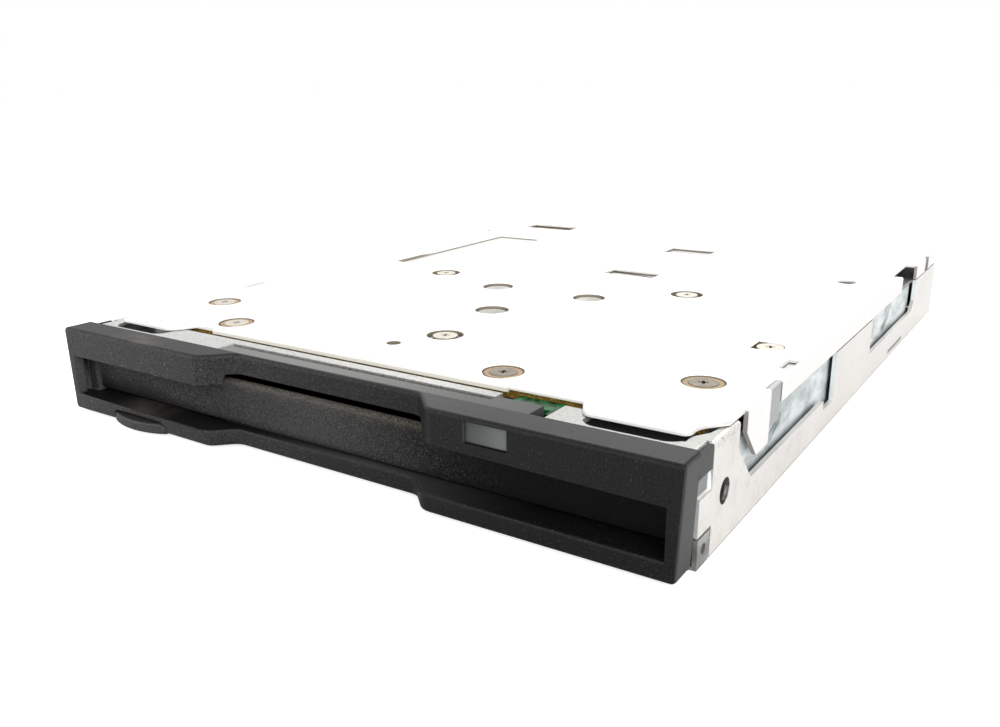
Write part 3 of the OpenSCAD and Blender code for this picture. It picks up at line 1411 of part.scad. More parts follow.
module stepper_bracket() color("#cfd1d2") difference() {
    union() {
        box(screw_x - bracket_w / 2, screw_x + bracket_w / 2, screw_front, motor_y, web_z - bracket_t, web_z);
        box(screw_x - bearing_w / 2, screw_x + bearing_w / 2, screw_front, screw_front + bracket_t,
            drive_z - bearing_w / 2, web_z);
        box(screw_x - flange_w / 2, screw_x + flange_w / 2, motor_y - bracket_t, motor_y,
            drive_z - flange_drop, web_z);
    }
    rod_along_y(journal_r + pin_clear, screw_front - over, screw_front + over, screw_x, drive_z);
    rod_along_y(lead_crest_r + clear, motor_y - over, motor_y + over, screw_x, drive_z);
    for (p = bracket_spots) rod_along_z(screw_r + fine, 0, body_h, p);
}

module bracket_screws() color("#c8c4ba") for (p = bracket_spots) {
    rod_along_z(bracket_head_r, web_top, web_top + bracket_head_t, p);
    rod_along_z(screw_r, web_z - bracket_t, web_top + fine, p);
}

module chip(x, y, w, l) { box(x - w / 2, x + w / 2, y - l / 2, y + l / 2, board_z - chip_h, board_z); }

module board_chips() color("#2b2c2f") {
    chip(chip_x, chip_y, chip_w, chip_w);
    chip(amp_x, amp_y, amp_w, amp_w);
    chip(logic_x, logic_y, driver_l, driver_w);
    chip(driver_x, driver_y, driver_w, driver_l);
}

module host_connector() color("#ece8da") {
    y = rear_in - conn_inset;
    difference() {
        box(conn_end - conn_w, conn_end, y - conn_d, y, board_z - conn_h, board_z);
        box(conn_end - conn_w + conn_wall, conn_end - conn_wall, y - conn_d / 2, y + over,
            board_z - (conn_h + conn_slit) / 2, board_z - (conn_h - conn_slit) / 2);
    }
}

module flex_socket() color("#ece8da") {
    x1 = board_cut_x - socket_h;
    y1 = carriage_y - carriage_gap - over;
    box(x1 - socket_w, x1, y1 - socket_l, y1, board_z - socket_h, board_z);
}

module head_flex() color("#b77b35") {
    low = arm_z + arm_eye_r + over + bush_r;
    high = board_z - socket_h / 2;
    loop_y = carriage_y + flex_l;
    r = (high - low) / 2;
    x1 = board_cut_x - 2 * holder_leg;
    side_sheet(x1 - flex_w, x1) {
        area(carriage_y - carriage_gap - over, loop_y, high - flex_t, high);
        area(carriage_y + post_d, loop_y, low, low + flex_t);
        translate([loop_y, low + r]) difference() {
            circle(r);
            circle(r - flex_t);
            area(-body_h, 0, -body_h, body_h);
        }
    }
}

module switch_housings() color("#26272a") for (p = switch_spots) difference() {
    box(p[0] - switch_w / 2, p[0] + switch_w / 2, p[1] - switch_w / 2, p[1] + switch_w / 2,
        web_z - switch_drop, board_z);
    rod_along_z(plunger_r + pin_clear, 0, board_z - seam, p);
}

module plunger(p) { rod_along_z(plunger_r, web_z - plunger_drop, board_z - clear - plunger_travel, p); }
module protect_plunger() color("#e6e3d6") plunger(switch_spots[0]);
module density_plunger() color("#e6e3d6") plunger(switch_spots[1]);
module media_plunger() color("#e6e3d6") plunger(switch_spots[2]);

placed() front_bezel();
placed() slot_flap();
placed() flap_spring();
placed() eject_button();
placed() lamp_lens();
placed() lamp_holder();
placed() main_frame();
placed() disk_cover();
placed() circuit_cover();
placed() circuit_board();
placed() insulating_film();
placed() blank_label();
placed() board_screws();
placed() fibre_rings();
placed() motor_screws();
placed() motor_base();
placed() bearing_rivets();
placed() spindle_bearing();
placed() stator_core();
placed() stator_coils();
placed() rotor_cup();
placed() rotor_magnet();
placed() spindle_shaft();
placed() spindle_hub();
placed() drive_pin();
placed() disk_cage();
placed() guide_posts();
placed() eject_slider();
placed() eject_springs();
placed() trigger_lever();
placed() lever_rivet();
placed() lever_spring();
placed() head_carriage();
placed() fixed_head();
placed() head_arm();
placed() arm_head();
placed() arm_pin();
placed() arm_spring();
placed() guide_rod();
placed() stepping_motor();
placed() lead_screw();
placed() stepper_bracket();
placed() bracket_screws();
placed() board_chips();
placed() host_connector();
placed() head_flex();
placed() flex_socket();
placed() switch_housings();
placed() protect_plunger();
placed() density_plunger();
placed() media_plunger();
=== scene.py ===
import math

import bmesh
import bpy
from mathutils import Matrix, Vector


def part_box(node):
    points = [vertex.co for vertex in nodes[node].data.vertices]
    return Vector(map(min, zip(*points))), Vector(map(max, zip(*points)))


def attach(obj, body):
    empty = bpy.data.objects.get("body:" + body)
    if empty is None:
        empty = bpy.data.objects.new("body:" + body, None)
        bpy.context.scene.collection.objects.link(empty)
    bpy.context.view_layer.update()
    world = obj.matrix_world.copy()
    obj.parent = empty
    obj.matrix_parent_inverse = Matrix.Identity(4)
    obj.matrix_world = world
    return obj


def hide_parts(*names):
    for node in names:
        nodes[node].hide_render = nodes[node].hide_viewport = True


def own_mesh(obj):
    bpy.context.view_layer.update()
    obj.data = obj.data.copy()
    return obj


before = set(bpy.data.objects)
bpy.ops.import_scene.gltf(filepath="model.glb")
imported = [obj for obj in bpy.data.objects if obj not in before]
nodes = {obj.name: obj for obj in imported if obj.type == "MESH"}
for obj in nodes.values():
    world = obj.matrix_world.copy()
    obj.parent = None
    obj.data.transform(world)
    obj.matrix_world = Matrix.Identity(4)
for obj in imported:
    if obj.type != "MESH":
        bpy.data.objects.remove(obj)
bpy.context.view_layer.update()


# Studio. White paper under the drive and white all round it. A soft sun stands high behind the drive,
# one at the front right lights the wall, and a broad one low in front fills the bezel's shade.
class Wire:
    """A shader socket that takes part in plain arithmetic."""

    def __init__(self, tree, out):
        self.tree = tree
        self.out = out

    def node(self, kind, settings, sockets, out=0):
        """Adds a node with its settings and with values or links in its sockets, and gives one output."""
        made = self.tree.nodes.new(kind)
        for key, value in settings.items():
            setattr(made, key, value)
        for key, value in sockets.items():
            if isinstance(value, Wire):
                self.tree.links.new(value.out, made.inputs[key])
            else:
                made.inputs[key].default_value = value
        return Wire(self.tree, made.outputs[out])

    def maths(self, operation, first, second):
        return self.node("ShaderNodeMath", {"operation": operation}, {0: first, 1: second})

    def __add__(self, other):
        return self.maths("ADD", self, other)

    def __sub__(self, other):
        return self.maths("SUBTRACT", self, other)

    def __rsub__(self, other):
        return self.maths("SUBTRACT", other, self)

    def __mul__(self, other):
        return self.maths("MULTIPLY", self, other)

    def __pow__(self, other):
        return self.maths("POWER", self, other)

    def __abs__(self):
        return self.maths("ABSOLUTE", self, 0)

    def most(self, other):
        return self.maths("MAXIMUM", self, other)

    __radd__ = __add__
    __rmul__ = __mul__


WHITE = (1, 1, 1, 1)
AMBIENT = 0.4
PAPER = (0.86, 0.86, 0.86, 1)
PAPER_HALF = 9
PAPER_LIFT = 0.72

scene = bpy.context.scene
scene.view_settings.view_transform = "Standard"

world = bpy.data.worlds.new("studio_white")
world.use_nodes = True
scene.world = world
tree = world.node_tree
tree.nodes.clear()
rays = tree.nodes.new("ShaderNodeLightPath")
seen = Wire(tree, rays.outputs["Is Camera Ray"])
for ray in ("Is Glossy Ray", "Is Transmission Ray"):
    seen = seen.most(Wire(tree, rays.outputs[ray]))
brightness = AMBIENT + seen * (1 - AMBIENT)
glow = seen.node("ShaderNodeBackground", {}, {"Color": WHITE, "Strength": brightness})
world_out = tree.nodes.new("ShaderNodeOutputWorld")
tree.links.new(glow.out, world_out.inputs["Surface"])

paper_shape = bmesh.new()
bmesh.ops.create_grid(paper_shape, x_segments=1, y_segments=1, size=PAPER_HALF)
paper_mesh = bpy.data.meshes.new("paper")
paper_shape.to_mesh(paper_mesh)
paper_shape.free()
paper = bpy.data.objects.new("paper", paper_mesh)
scene.collection.objects.link(paper)
paper_finish = bpy.data.materials.new("white_paper")
paper_finish.use_nodes = True
tree = paper_finish.node_tree
tree.nodes.clear()
rays = tree.nodes.new("ShaderNodeLightPath")
camera_ray = Wire(tree, rays.outputs["Is Camera Ray"])
matt = camera_ray.node("ShaderNodeBsdfDiffuse", {}, {"Color": PAPER})
lift = camera_ray.node("ShaderNodeEmission", {}, {"Color": WHITE, "Strength": camera_ray * PAPER_LIFT})
lifted = lift.node("ShaderNodeAddShader", {}, {0: matt, 1: lift})
paper_out = tree.nodes.new("ShaderNodeOutputMaterial")
tree.links.new(lifted.out, paper_out.inputs["Surface"])
paper_mesh.materials.append(paper_finish)


def sun(name, place, strength, width):
    """A soft sun that shines from place towards the drive. Width is in degrees."""
    lamp = bpy.data.lights.new(name, "SUN")
    lamp.energy = strength
    lamp.angle = math.radians(width)
    stand = bpy.data.objects.new(name, lamp)
    stand.location = place
    stand.rotation_euler = Vector(place).to_track_quat("Z", "Y").to_euler()
    scene.collection.objects.link(stand)


sun("high_sun", place=(-0.25, 0.7, 0.8), strength=1.4, width=35)
sun("right_sun", place=(0.8, -0.55, 0.45), strength=1.75, width=40)
sun("front_fill", place=(-0.5, -0.85, 0.25), strength=1.2, width=60)

camera = bpy.data.cameras.new("camera")
camera.sensor_width = 36
camera.lens = 32.98
camera.shift_x = 0.0298
camera.shift_y = 0.0026
camera.clip_start = 0.005
camera.clip_end = 40
stood = Matrix.Translation((0.07596, -0.13948, 0.0454))
turned = Matrix.Rotation(math.radians(34.98), 4, "Z")
tilted = Matrix.Rotation(math.radians(90 - 16.75), 4, "X")
rolled = Matrix.Rotation(math.radians(-0.91), 4, "Z")
viewer = bpy.data.objects.new("camera", camera)
viewer.matrix_world = stood @ turned @ tilted @ rolled
scene.collection.objects.link(viewer)
scene.camera = viewer


# Main frame and head motor's bracket. Stamped and folded sheet with a bright zinc plate: pale on the
# outside with faint rolling marks and stains, and painted shade inside, on the strip's front edge, on the
# cut edges and in the mount bores. The frame carries everything else, and the bracket is screwed to its web.
class Finish:
    """A material with one Principled shader, read on Object coordinates in metres."""

    def __init__(self, name, **constant):
        self.material = bpy.data.materials.new(name)
        self.material.use_nodes = True
        self.tree = self.material.node_tree
        self.shader = self.tree.nodes["Principled BSDF"]
        for key, value in constant.items():
            self.shader.inputs[key.replace("_", " ")].default_value = value
        self.place = Wire(self.tree, self.tree.nodes.new("ShaderNodeTexCoord").outputs["Object"])
        self.x, self.y, self.z = self.parts(self.place)
        geometry = self.tree.nodes.new("ShaderNodeNewGeometry")
        self.nx, self.ny, self.nz = self.parts(Wire(self.tree, geometry.outputs["True Normal"]))

    def parts(self, vector):
        split = vector.node("ShaderNodeSeparateXYZ", {}, {0: vector}).out.node
        return [Wire(self.tree, socket) for socket in split.outputs]

    def stretched(self, scale):
        return self.place.node("ShaderNodeMapping", {}, {"Vector": self.place, "Scale": scale})

    def noise(self, scale, detail=4, rough=0.55, place=None):
        return self.place.node("ShaderNodeTexNoise", {}, {
            "Vector": place or self.place, "Scale": scale, "Detail": detail, "Roughness": rough})

    def cells(self, scale, out):
        return self.place.node("ShaderNodeTexVoronoi", {}, {"Vector": self.place, "Scale": scale}, out)

    def ramp(self, value, low, high):
        """Goes smoothly from 0 at low to 1 at high."""
        return self.place.node("ShaderNodeMapRange", {"interpolation_type": "SMOOTHSTEP"}, {
            "Value": value, "From Min": low, "From Max": high})

    def band(self, value, low, high, soft=0.00004):
        """Is 1 from low to high and 0 outside, with soft edges."""
        return self.ramp(value, low - soft, low + soft) * (1 - self.ramp(value, high - soft, high + soft))

    def mix(self, share, first, second):
        return self.place.node("ShaderNodeMix", {"data_type": "RGBA"}, {0: share, 6: first, 7: second}, out=2)

    def lay(self, color, rough, height, depth, metal=None):
        """Feeds the shader, with depth the height of the bump in metres."""
        for key, value in (("Base Color", color), ("Roughness", rough), ("Metallic", metal)):
            if value is not None:
                self.tree.links.new(value.out, self.shader.inputs[key])
        bump = self.place.node("ShaderNodeBump", {}, {"Strength": 1.0, "Distance": depth, "Height": height})
        self.tree.links.new(bump.out, self.shader.inputs["Normal"])
        return self.material


def tone(red, green, blue):
    """A colour as seen on a screen, 0 to 255, turned linear."""
    parts = [c / 255 for c in (red, green, blue)]
    return tuple(c / 12.92 if c <= 0.04045 else ((c + 0.055) / 1.055) ** 2.4 for c in parts) + (1,)


def dress(material, *names):
    """Gives CAD nodes their finish."""
    for name in names:
        nodes[name].data.materials.clear()
        nodes[name].data.materials.append(material)


def rolled_sheet(steel, flat, shade, stain):
    """Colour, roughness and height of bright plated sheet."""
    cloud = steel.noise(60, 5)
    rolling = steel.noise(900, 3, 0.6, steel.stretched((1, 0.06, 1)))
    fleck = steel.ramp(steel.noise(2600, 2), 0.62, 0.72)
    color = steel.mix(steel.ramp(cloud, 0.42, 0.7) * 0.5, flat, shade)
    color = steel.mix(steel.ramp(steel.noise(220, 5, 0.65), 0.63, 0.8) * 0.35, color, stain)
    color = steel.mix(fleck * 0.18, color, stain)
    return color, (cloud - 0.5) * 0.2 + rolling * 0.06, rolling * 0.6 + fleck * 0.4


SAME_POINT = 0.000001
FLAT_ANGLE = 0.01
EDGE_ANGLE = 0.4
CREASE_ANGLE = math.radians(32)


def rounded(node, body, slot, material, *rounds):
    """A merged copy of a node with some of its edges rounded, shown in the node's place."""
    shape = bmesh.new()
    shape.from_mesh(nodes[node].data)
    bmesh.ops.remove_doubles(shape, verts=shape.verts, dist=SAME_POINT)
    bmesh.ops.dissolve_limit(shape, angle_limit=FLAT_ANGLE, verts=shape.verts, edges=shape.edges)
    for radius, steps, chosen in rounds:
        sharp = [e for e in shape.edges if len(e.link_faces) == 2 and e.calc_face_angle() > EDGE_ANGLE]
        edges = [e for e in sharp if chosen(e.verts[0].co, e.verts[1].co)]
        bmesh.ops.bevel(shape, geom=edges, offset=radius, offset_type="OFFSET", affect="EDGES",
                        segments=steps, profile=0.5, clamp_overlap=False, material=-1)
    mesh = bpy.data.meshes.new(node + "_soft")
    shape.to_mesh(mesh)
    shape.free()
    mesh.shade_smooth()
    mesh.set_sharp_from_angle(angle=CREASE_ANGLE)
    mesh.materials.append(material)
    piece = bpy.data.objects.new(node + "_soft", mesh)
    scene.collection.objects.link(piece)
    normals = piece.modifiers.new("even_light", "WEIGHTED_NORMAL")
    normals.keep_sharp = True
    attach(piece, body)
    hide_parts(node)
    return piece


NEAR = 0.00002
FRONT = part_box("front_bezel")[0].y
FRAME_X, FRAME_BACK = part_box("main_frame")[1].xy
FRAME_SHEET = 0.0006
WALL_INSIDE = FRAME_X - FRAME_SHEET
REAR_INSIDE = FRAME_BACK - FRAME_SHEET
STRIP_FRONT = FRONT + 0.0083
STRIP_LOW, STRIP_TOP = 0.0115, 0.0124
MOUNT_Y, MOUNT_Z, MOUNT_R = FRONT + 0.0117, 0.006, 0.00145
CLIP_FRONT, CLIP_BACK, CLIP_LOW = FRONT + 0.0258, FRONT + 0.0293, 0.008
REST_FRONT, REST_BACK, REST_LOW = FRONT + 0.034, FRONT + 0.0387, 0.0105
FOOT_LINE = 0.00012


def on_strip(a, b):
    """The strip's front edge, and the walls' edges level with its top."""
    level = max(abs(a.z - STRIP_TOP), abs(b.z - STRIP_TOP)) < NEAR
    return level and (min(abs(a.x), abs(b.x)) > FRAME_X - NEAR or max(a.y, b.y) < STRIP_FRONT + 0.0001)


zinc = Finish("zinc_sheet", Metallic=0.4)
zinc_color, zinc_rough, zinc_height = rolled_sheet(
    zinc, flat=tone(244, 241, 237), shade=tone(228, 222, 218), stain=tone(186, 172, 160))
sideways = abs(zinc.x)
wall = zinc.ramp(sideways, WALL_INSIDE + NEAR, WALL_INSIDE + 4 * NEAR)
rear = zinc.ramp(zinc.y, REAR_INSIDE + NEAR, REAR_INSIDE + 4 * NEAR)
high = zinc.ramp(zinc.z, STRIP_LOW, STRIP_LOW + 0.0002)
forward = 1 - zinc.ramp(zinc.ny, -0.9, -0.6)

mottle = zinc.ramp(zinc.noise(420, 5, 0.7), 0.45, 0.72) * (1 - zinc.ramp(zinc.y, FRONT + 0.02, FRONT + 0.06))
zinc_color = zinc.mix(mottle * 0.4, zinc_color, tone(205, 196, 190))
# Painted shade: the frame's inside, below the strip, is painted grey.
painted_shade_within = (1 - wall.most(rear)) * (1 - zinc.ramp(zinc.z, STRIP_LOW - 0.0003, STRIP_LOW))
zinc_color = zinc.mix(painted_shade_within * 0.9, zinc_color, tone(128, 132, 135))

strip_dirt = high * zinc.ramp(zinc.noise(2600, 4, 0.75), 0.5, 0.66)
strip_color = zinc.mix(zinc.ramp(zinc.x, 0.012, 0.024), tone(197, 198, 196), tone(164, 165, 161))
zinc_color = zinc.mix(high * (1 - wall) * 0.9, zinc_color, strip_color)
zinc_color = zinc.mix(strip_dirt * 0.6, zinc_color, tone(134, 128, 116))
# Painted shade: the strip's front edge is painted dark, a little darker where it is dirty.
strip_edge_shade = (1 - wall) * high * (1 - zinc.ramp(zinc.ny, -0.8, -0.4))
zinc_color = zinc.mix(strip_edge_shade * (0.8 + strip_dirt * 0.2), zinc_color, tone(44, 40, 35))

clip = wall * zinc.band(zinc.y, CLIP_FRONT, CLIP_BACK) * zinc.ramp(zinc.z, CLIP_LOW, CLIP_LOW + 0.0002)
zinc_color = zinc.mix(clip * 0.9, zinc_color, tone(164, 168, 169))
rest = zinc.band(zinc.y, REST_FRONT, REST_BACK) * zinc.ramp(zinc.z, REST_LOW, REST_LOW + 0.0002)
rest_color = zinc.mix(mottle, tone(206, 208, 206), tone(150, 150, 146))
zinc_color = zinc.mix(rest * (1 - wall), zinc_color, rest_color)
foot = wall * (1 - zinc.ramp(zinc.z, FOOT_LINE, FOOT_LINE + 0.0001))
zinc_color = zinc.mix(foot * 0.6, zinc_color, tone(140, 134, 130))
# Painted shade: the walls' cut edges are painted grey, and those facing forward are painted pale.
cut_edge = wall * (1 - zinc.ramp(abs(zinc.nx), 0.3, 0.7)) * (1 - zinc.ramp(zinc.nz, 0.7, 0.9))
cut_edge_shade = zinc.mix(forward, tone(158, 156, 152), tone(246, 250, 251))
zinc_color = zinc.mix(cut_edge * (0.6 + forward * 0.35), zinc_color, cut_edge_shade)

# Painted shade: the walls of the mount bore are painted dark.
from_mount = ((zinc.y - MOUNT_Y) ** 2 + (zinc.z - MOUNT_Z) ** 2) ** 0.5
bore_shade = 1 - zinc.ramp(from_mount, MOUNT_R + NEAR, MOUNT_R + 4 * NEAR)
bore_shade = bore_shade * (1 - zinc.ramp(sideways, FRAME_X - 0.0001, FRAME_X))
zinc_color = zinc.mix(bore_shade * 0.85, zinc_color, tone(58, 52, 48))
zinc.lay(zinc_color, 0.36 + zinc_rough, zinc_height, 0.000006)
rounded("main_frame", "drive", "zinc_sheet", zinc.material, (0.0003, 3, on_strip))
dress(zinc.material, "stepper_bracket")


# Slider, cage, lever, disk cover and motor pressings. Hot-dip zinc, left grey: large dull spangles
# with bluish and greenish patches, and rubbed streaks along the slide. The slider runs inside the
# frame's walls, and the cage hangs in its cam slots.
def galvanised(name, light, dark):
    """Grey zinc with spangles, cloudy patches and streaks along the slide."""
    coat = Finish(name, Metallic=0.5)
    spangle = coat.place.node("ShaderNodeRGBToBW", {}, {0: coat.cells(420, 1)})
    patch = coat.noise(420, 5, 0.62, coat.stretched((1, 0.4, 1)))
    streak = coat.noise(700, 3, 0.5, coat.stretched((1, 0.08, 1)))
    color = coat.mix(coat.ramp(patch, 0.35, 0.68), light, dark)
    color = coat.mix(spangle * 0.25, color, tone(232, 237, 237))
    return coat.lay(color, 0.34 + patch * 0.25 + spangle * 0.08, streak + spangle * 0.5, 0.000008)


grey_zinc = galvanised("grey_zinc", tone(242, 247, 247), tone(178, 187, 188))
dress(grey_zinc, "eject_slider", "disk_cage", "trigger_lever", "rotor_cup", "spindle_hub", "stepping_motor")
warm_zinc = galvanised("warm_zinc", tone(176, 173, 166), tone(142, 139, 132))
dress(warm_zinc, "motor_base", "bearing_rivets")
dull_zinc = galvanised("dull_zinc", tone(168, 168, 164), tone(120, 121, 118))
dress(dull_zinc, "disk_cover")


# Turned and ground steel: shafts, pins, posts, the guide rod and the lead screw, bright and oiled,
# with fine turning marks. The springs are plated music wire, two of them pull springs under the
# slider.
def bright_steel(name, light, dark, rough):
    """Bare steel under an uneven film of oil."""
    steel = Finish(name, Metallic=1.0)
    turning = steel.noise(1600, 2, 0.5)
    film = steel.noise(180, 4)
    return steel.lay(steel.mix(film, light, dark), rough + film * 0.12, turning, 0.000004)


shaft_steel = bright_steel("shaft_steel", tone(222, 223, 224), tone(190, 192, 194), 0.16)
dress(shaft_steel, "spindle_shaft", "drive_pin", "guide_posts", "lever_rivet", "arm_pin")
dress(shaft_steel, "guide_rod", "lead_screw")
spring_steel = bright_steel("spring_steel", tone(205, 206, 208), tone(160, 162, 166), 0.24)
dress(spring_steel, "flap_spring", "lever_spring", "arm_spring")

pull_springs = rounded("eject_springs", "drive", "spring_steel", spring_steel)
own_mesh(pull_springs)


# Heads, magnet, core, winding and bearing. The heads are polished ferrite, set in the carriage and its
# arm. The spindle motor has a bonded magnet, a laminated core wound with enamelled copper, and a
# sintered bronze bearing.
def plain_solid(name, light, dark, rough, scale, metal=0.0):
    """One solid substance with a fine grain, its scale in grains per metre."""
    body = Finish(name, Metallic=metal)
    grain = body.noise(scale, 4)
    wide = body.noise(scale / 12, 3)
    return body.lay(body.mix(wide * 0.6 + grain * 0.4, light, dark), rough + grain * 0.15, grain, 0.00001)


ferrite = plain_solid("ferrite", tone(66, 68, 74), tone(48, 50, 56), 0.18, 3000)
dress(ferrite, "fixed_head", "arm_head")
magnet = plain_solid("magnet", tone(58, 58, 62), tone(42, 42, 46), 0.5, 2600)
dress(magnet, "rotor_magnet")
core_steel = plain_solid("core_steel", tone(96, 98, 102), tone(70, 72, 76), 0.45, 2400, metal=0.7)
dress(core_steel, "stator_core")
copper = plain_solid("copper", tone(190, 104, 52), tone(150, 78, 36), 0.28, 3200, metal=0.9)
dress(copper, "stator_coils")
brass = plain_solid("brass", tone(186, 150, 84), tone(150, 116, 62), 0.4, 2800, metal=0.9)
dress(brass, "spindle_bearing")


# Head carriage and arm. Pressure die-cast light alloy, lightly blasted, with machined bores. The
# carriage slides on the guide rod and is driven by the lead screw, and the arm turns on its pin.
alloy = Finish("carriage_alloy", Metallic=0.85)
blast = alloy.noise(3800, 3)
alloy_color = alloy.mix(alloy.noise(200, 4), tone(210, 210, 206), tone(182, 182, 178))
alloy.lay(alloy_color, 0.42 + blast * 0.15, blast, 0.00001)
dress(alloy.material, "head_carriage", "head_arm")


# Circuit board, fibre rings, film and label. Brown paper laminate with golden-brown fibrous edges, a
# ring of fibre under each of its four screws, a thin clear film over the solder side, and a bare
# white paper label.
# Each ring's x, and its y behind the bezel's face
RING_SPOTS = ((0.0406, 0.024), (-0.0406, 0.024), (0.0189, 0.0154), (-0.0281, 0.0154))
RING_RIM = 0.0023

laminate = Finish("laminate", Specular_IOR_Level=0.2)
fibre = laminate.noise(2600, 4, 0.65, laminate.stretched((0.35, 0.35, 1.6)))
crumbs = laminate.ramp(laminate.noise(4200, 2), 0.55, 0.66)
edge_color = laminate.mix(fibre, tone(158, 126, 46), tone(70, 54, 14))
edge_color = laminate.mix(crumbs * 0.55, edge_color, tone(226, 196, 112))
face_color = laminate.mix(laminate.noise(160, 4), tone(122, 112, 84), tone(96, 88, 66))
board_color = laminate.mix(laminate.ramp(abs(laminate.nz), 0.4, 0.7), edge_color, face_color)
laminate.lay(board_color, 0.42 + fibre * 0.2, fibre + crumbs * 0.4, 0.00004)
dress(laminate.material, "circuit_board")

ring = Finish("fibre")
ring_grain = ring.noise(2600, 4)
ring_color = ring.mix(ring_grain, tone(200, 172, 130), tone(144, 114, 74))
# Painted shade: each ring gets a dark band where the edge of its hole shades it.
for spot_x, spot_y in RING_SPOTS:
    outward = ((ring.x - spot_x) ** 2 + (ring.y - FRONT - spot_y) ** 2) ** 0.5
    rim_shade = ring.band(outward, RING_RIM, 2 * RING_RIM, 0.0001)
    ring_color = ring.mix(rim_shade * 0.8, ring_color, tone(70, 50, 28))
ring.lay(ring_color, 0.5 + ring_grain * 0.15, ring_grain, 0.00002)
dress(ring.material, "fibre_rings")

film = plain_solid("film", tone(236, 233, 222), tone(226, 222, 208), 0.3, 700)
dress(film, "insulating_film")
label_paper = plain_solid("paper", tone(246, 246, 244), tone(238, 238, 234), 0.6, 3000)
dress(label_paper, "blank_label")


# Small board pieces. Moulded chip cases and switches, an ivory connector and socket, and ivory
# plungers, all under the board. The amber head flex loops from the socket back to the carriage.
black_plastic = plain_solid("black_plastic", tone(44, 44, 47), tone(34, 34, 37), 0.45, 3600)
dress(black_plastic, "board_chips", "switch_housings")
ivory_plastic = plain_solid("connector_plastic", tone(236, 231, 216), tone(224, 218, 200), 0.4, 2400)
dress(ivory_plastic, "host_connector", "flex_socket")
plunger_plastic = plain_solid("plunger_plastic", tone(232, 228, 214), tone(220, 214, 198), 0.32, 2400)
dress(plunger_plastic, "protect_plunger", "density_plunger", "media_plunger")

amber_film = plain_solid("flex", tone(188, 126, 54), tone(160, 100, 38), 0.2, 600)
loose_flex = rounded("head_flex", "drive", "flex", amber_film)
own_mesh(loose_flex)


# Screws. Cross-head machine screws in nickel plate gone slightly yellow, with painted shade in the recess and
# below the head's top. They hold the board, the motor and the bracket, and the two at the front right are the
# most tarnished.
HEAD_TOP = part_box("board_screws")[1].z
RIM_STEP = 0.00035
CLEAN_LEFT, CLEAN_BACK = 0.011, FRONT + 0.036


def on_head_rim(a, b):
    """The short edges round a screw head's top."""
    return min(a.z, b.z) > HEAD_TOP - NEAR and (a - b).length < RIM_STEP


screw_steel = Finish("screw_steel", Metallic=0.45)
tarnish = screw_steel.noise(900, 4)
screw_color = screw_steel.mix(tarnish, tone(142, 131, 115), tone(98, 89, 77))
to_back = screw_steel.ramp(screw_steel.y, CLEAN_BACK - 0.001, CLEAN_BACK + 0.001)
to_right = screw_steel.ramp(screw_steel.x, CLEAN_LEFT - 0.001, CLEAN_LEFT + 0.001)
screw_color = screw_steel.mix(to_back.most(1 - to_right), screw_color, tone(204, 196, 184))
# Painted shade: everything below the head's top, the recess too, is painted dark.
unshaded_top = screw_steel.ramp(screw_steel.z, HEAD_TOP - 0.00024, HEAD_TOP - 0.0001)
screw_color = screw_steel.mix(unshaded_top, tone(44, 37, 30), screw_color)
screw_steel.lay(screw_color, 0.34 + tarnish * 0.25, tarnish, 0.00001)
for screws in ("board_screws", "motor_screws"):
    rounded(screws, "drive", "screw_steel", screw_steel.material, (0.00009, 3, on_head_rim))
dress(screw_steel.material, "bracket_screws")


# Circuit-side cover. Satin plated sheet, blanked with its holes and folded down on the frame at the
# sides, front and rear. It is the palest piece of the drive, with painted shade in cream on the front flange,
# dark painted shade on its cut edges and the tab's edge, and a little soil at the front and beside the
# right-hand tab.
COVER_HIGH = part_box("circuit_cover")[1]
COVER_SHEET = 0.0006
FLANGE_FRONT = FRONT + 0.0109
RIM_BACK = FRONT + 0.0134
SHOULDER_IN, SHOULDER_OUT, SHOULDER_BACK = 0.0303, 0.0458, FRONT + 0.0108
SHADE_TOP_LINE = COVER_HIGH.z - 0.00028
REAR_WINDOWS = FRONT + 0.08
TAB_LOW = 0.0126
SHORTEST_FOLD = 0.0005


def on_cover_rim(a, b):
    """The bends at the sides and rear, and the outline of the front."""
    if min(a.z, b.z) < COVER_HIGH.z - NEAR:
        return False
    fold = min(abs(a.x), abs(b.x)) > COVER_HIGH.x - NEAR or min(a.y, b.y) > COVER_HIGH.y - NEAR
    return (fold and (a - b).length > SHORTEST_FOLD) or max(a.y, b.y) < RIM_BACK


def on_shoulder_corner(a, b):
    """The upright edges of the two shoulders beside the front flange."""
    upright_edge = (a - b).to_2d().length < NEAR
    return upright_edge and SHOULDER_IN < abs(a.x) < SHOULDER_OUT and a.y < SHOULDER_BACK


pale = Finish("pale_sheet")
pale_color, pale_rough, pale_height = rolled_sheet(
    pale, flat=tone(250, 249, 247), shade=tone(246, 245, 242), stain=tone(226, 221, 212))
upright = 1 - pale.ramp(abs(pale.nz), 0.2, 0.5)
cover_side = abs(pale.x)

held = 1 - pale.ramp(pale.y, FLANGE_FRONT + 0.0005, FLANGE_FRONT + 0.005)
beside_tab = pale.ramp(pale.x, COVER_HIGH.x - 0.005, COVER_HIGH.x)
beside_tab = beside_tab * (1 - pale.ramp(pale.y, FRONT + 0.022, FRONT + 0.034))
soil = held.most(beside_tab) * pale.ramp(pale.noise(1300, 5, 0.75), 0.52, 0.7) * pale.ramp(pale.nz, 0.7, 0.9)
pale_color = pale.mix(soil * 0.6, pale_color, tone(168, 154, 134))
# Painted shade: the front flange is painted with the cream tint of its shade.
flange_shade_tint = upright * pale.band(pale.y, FLANGE_FRONT - 0.0001, FLANGE_FRONT + 0.0003)
pale_color = pale.mix(flange_shade_tint * 0.7, pale_color, tone(250, 244, 228))
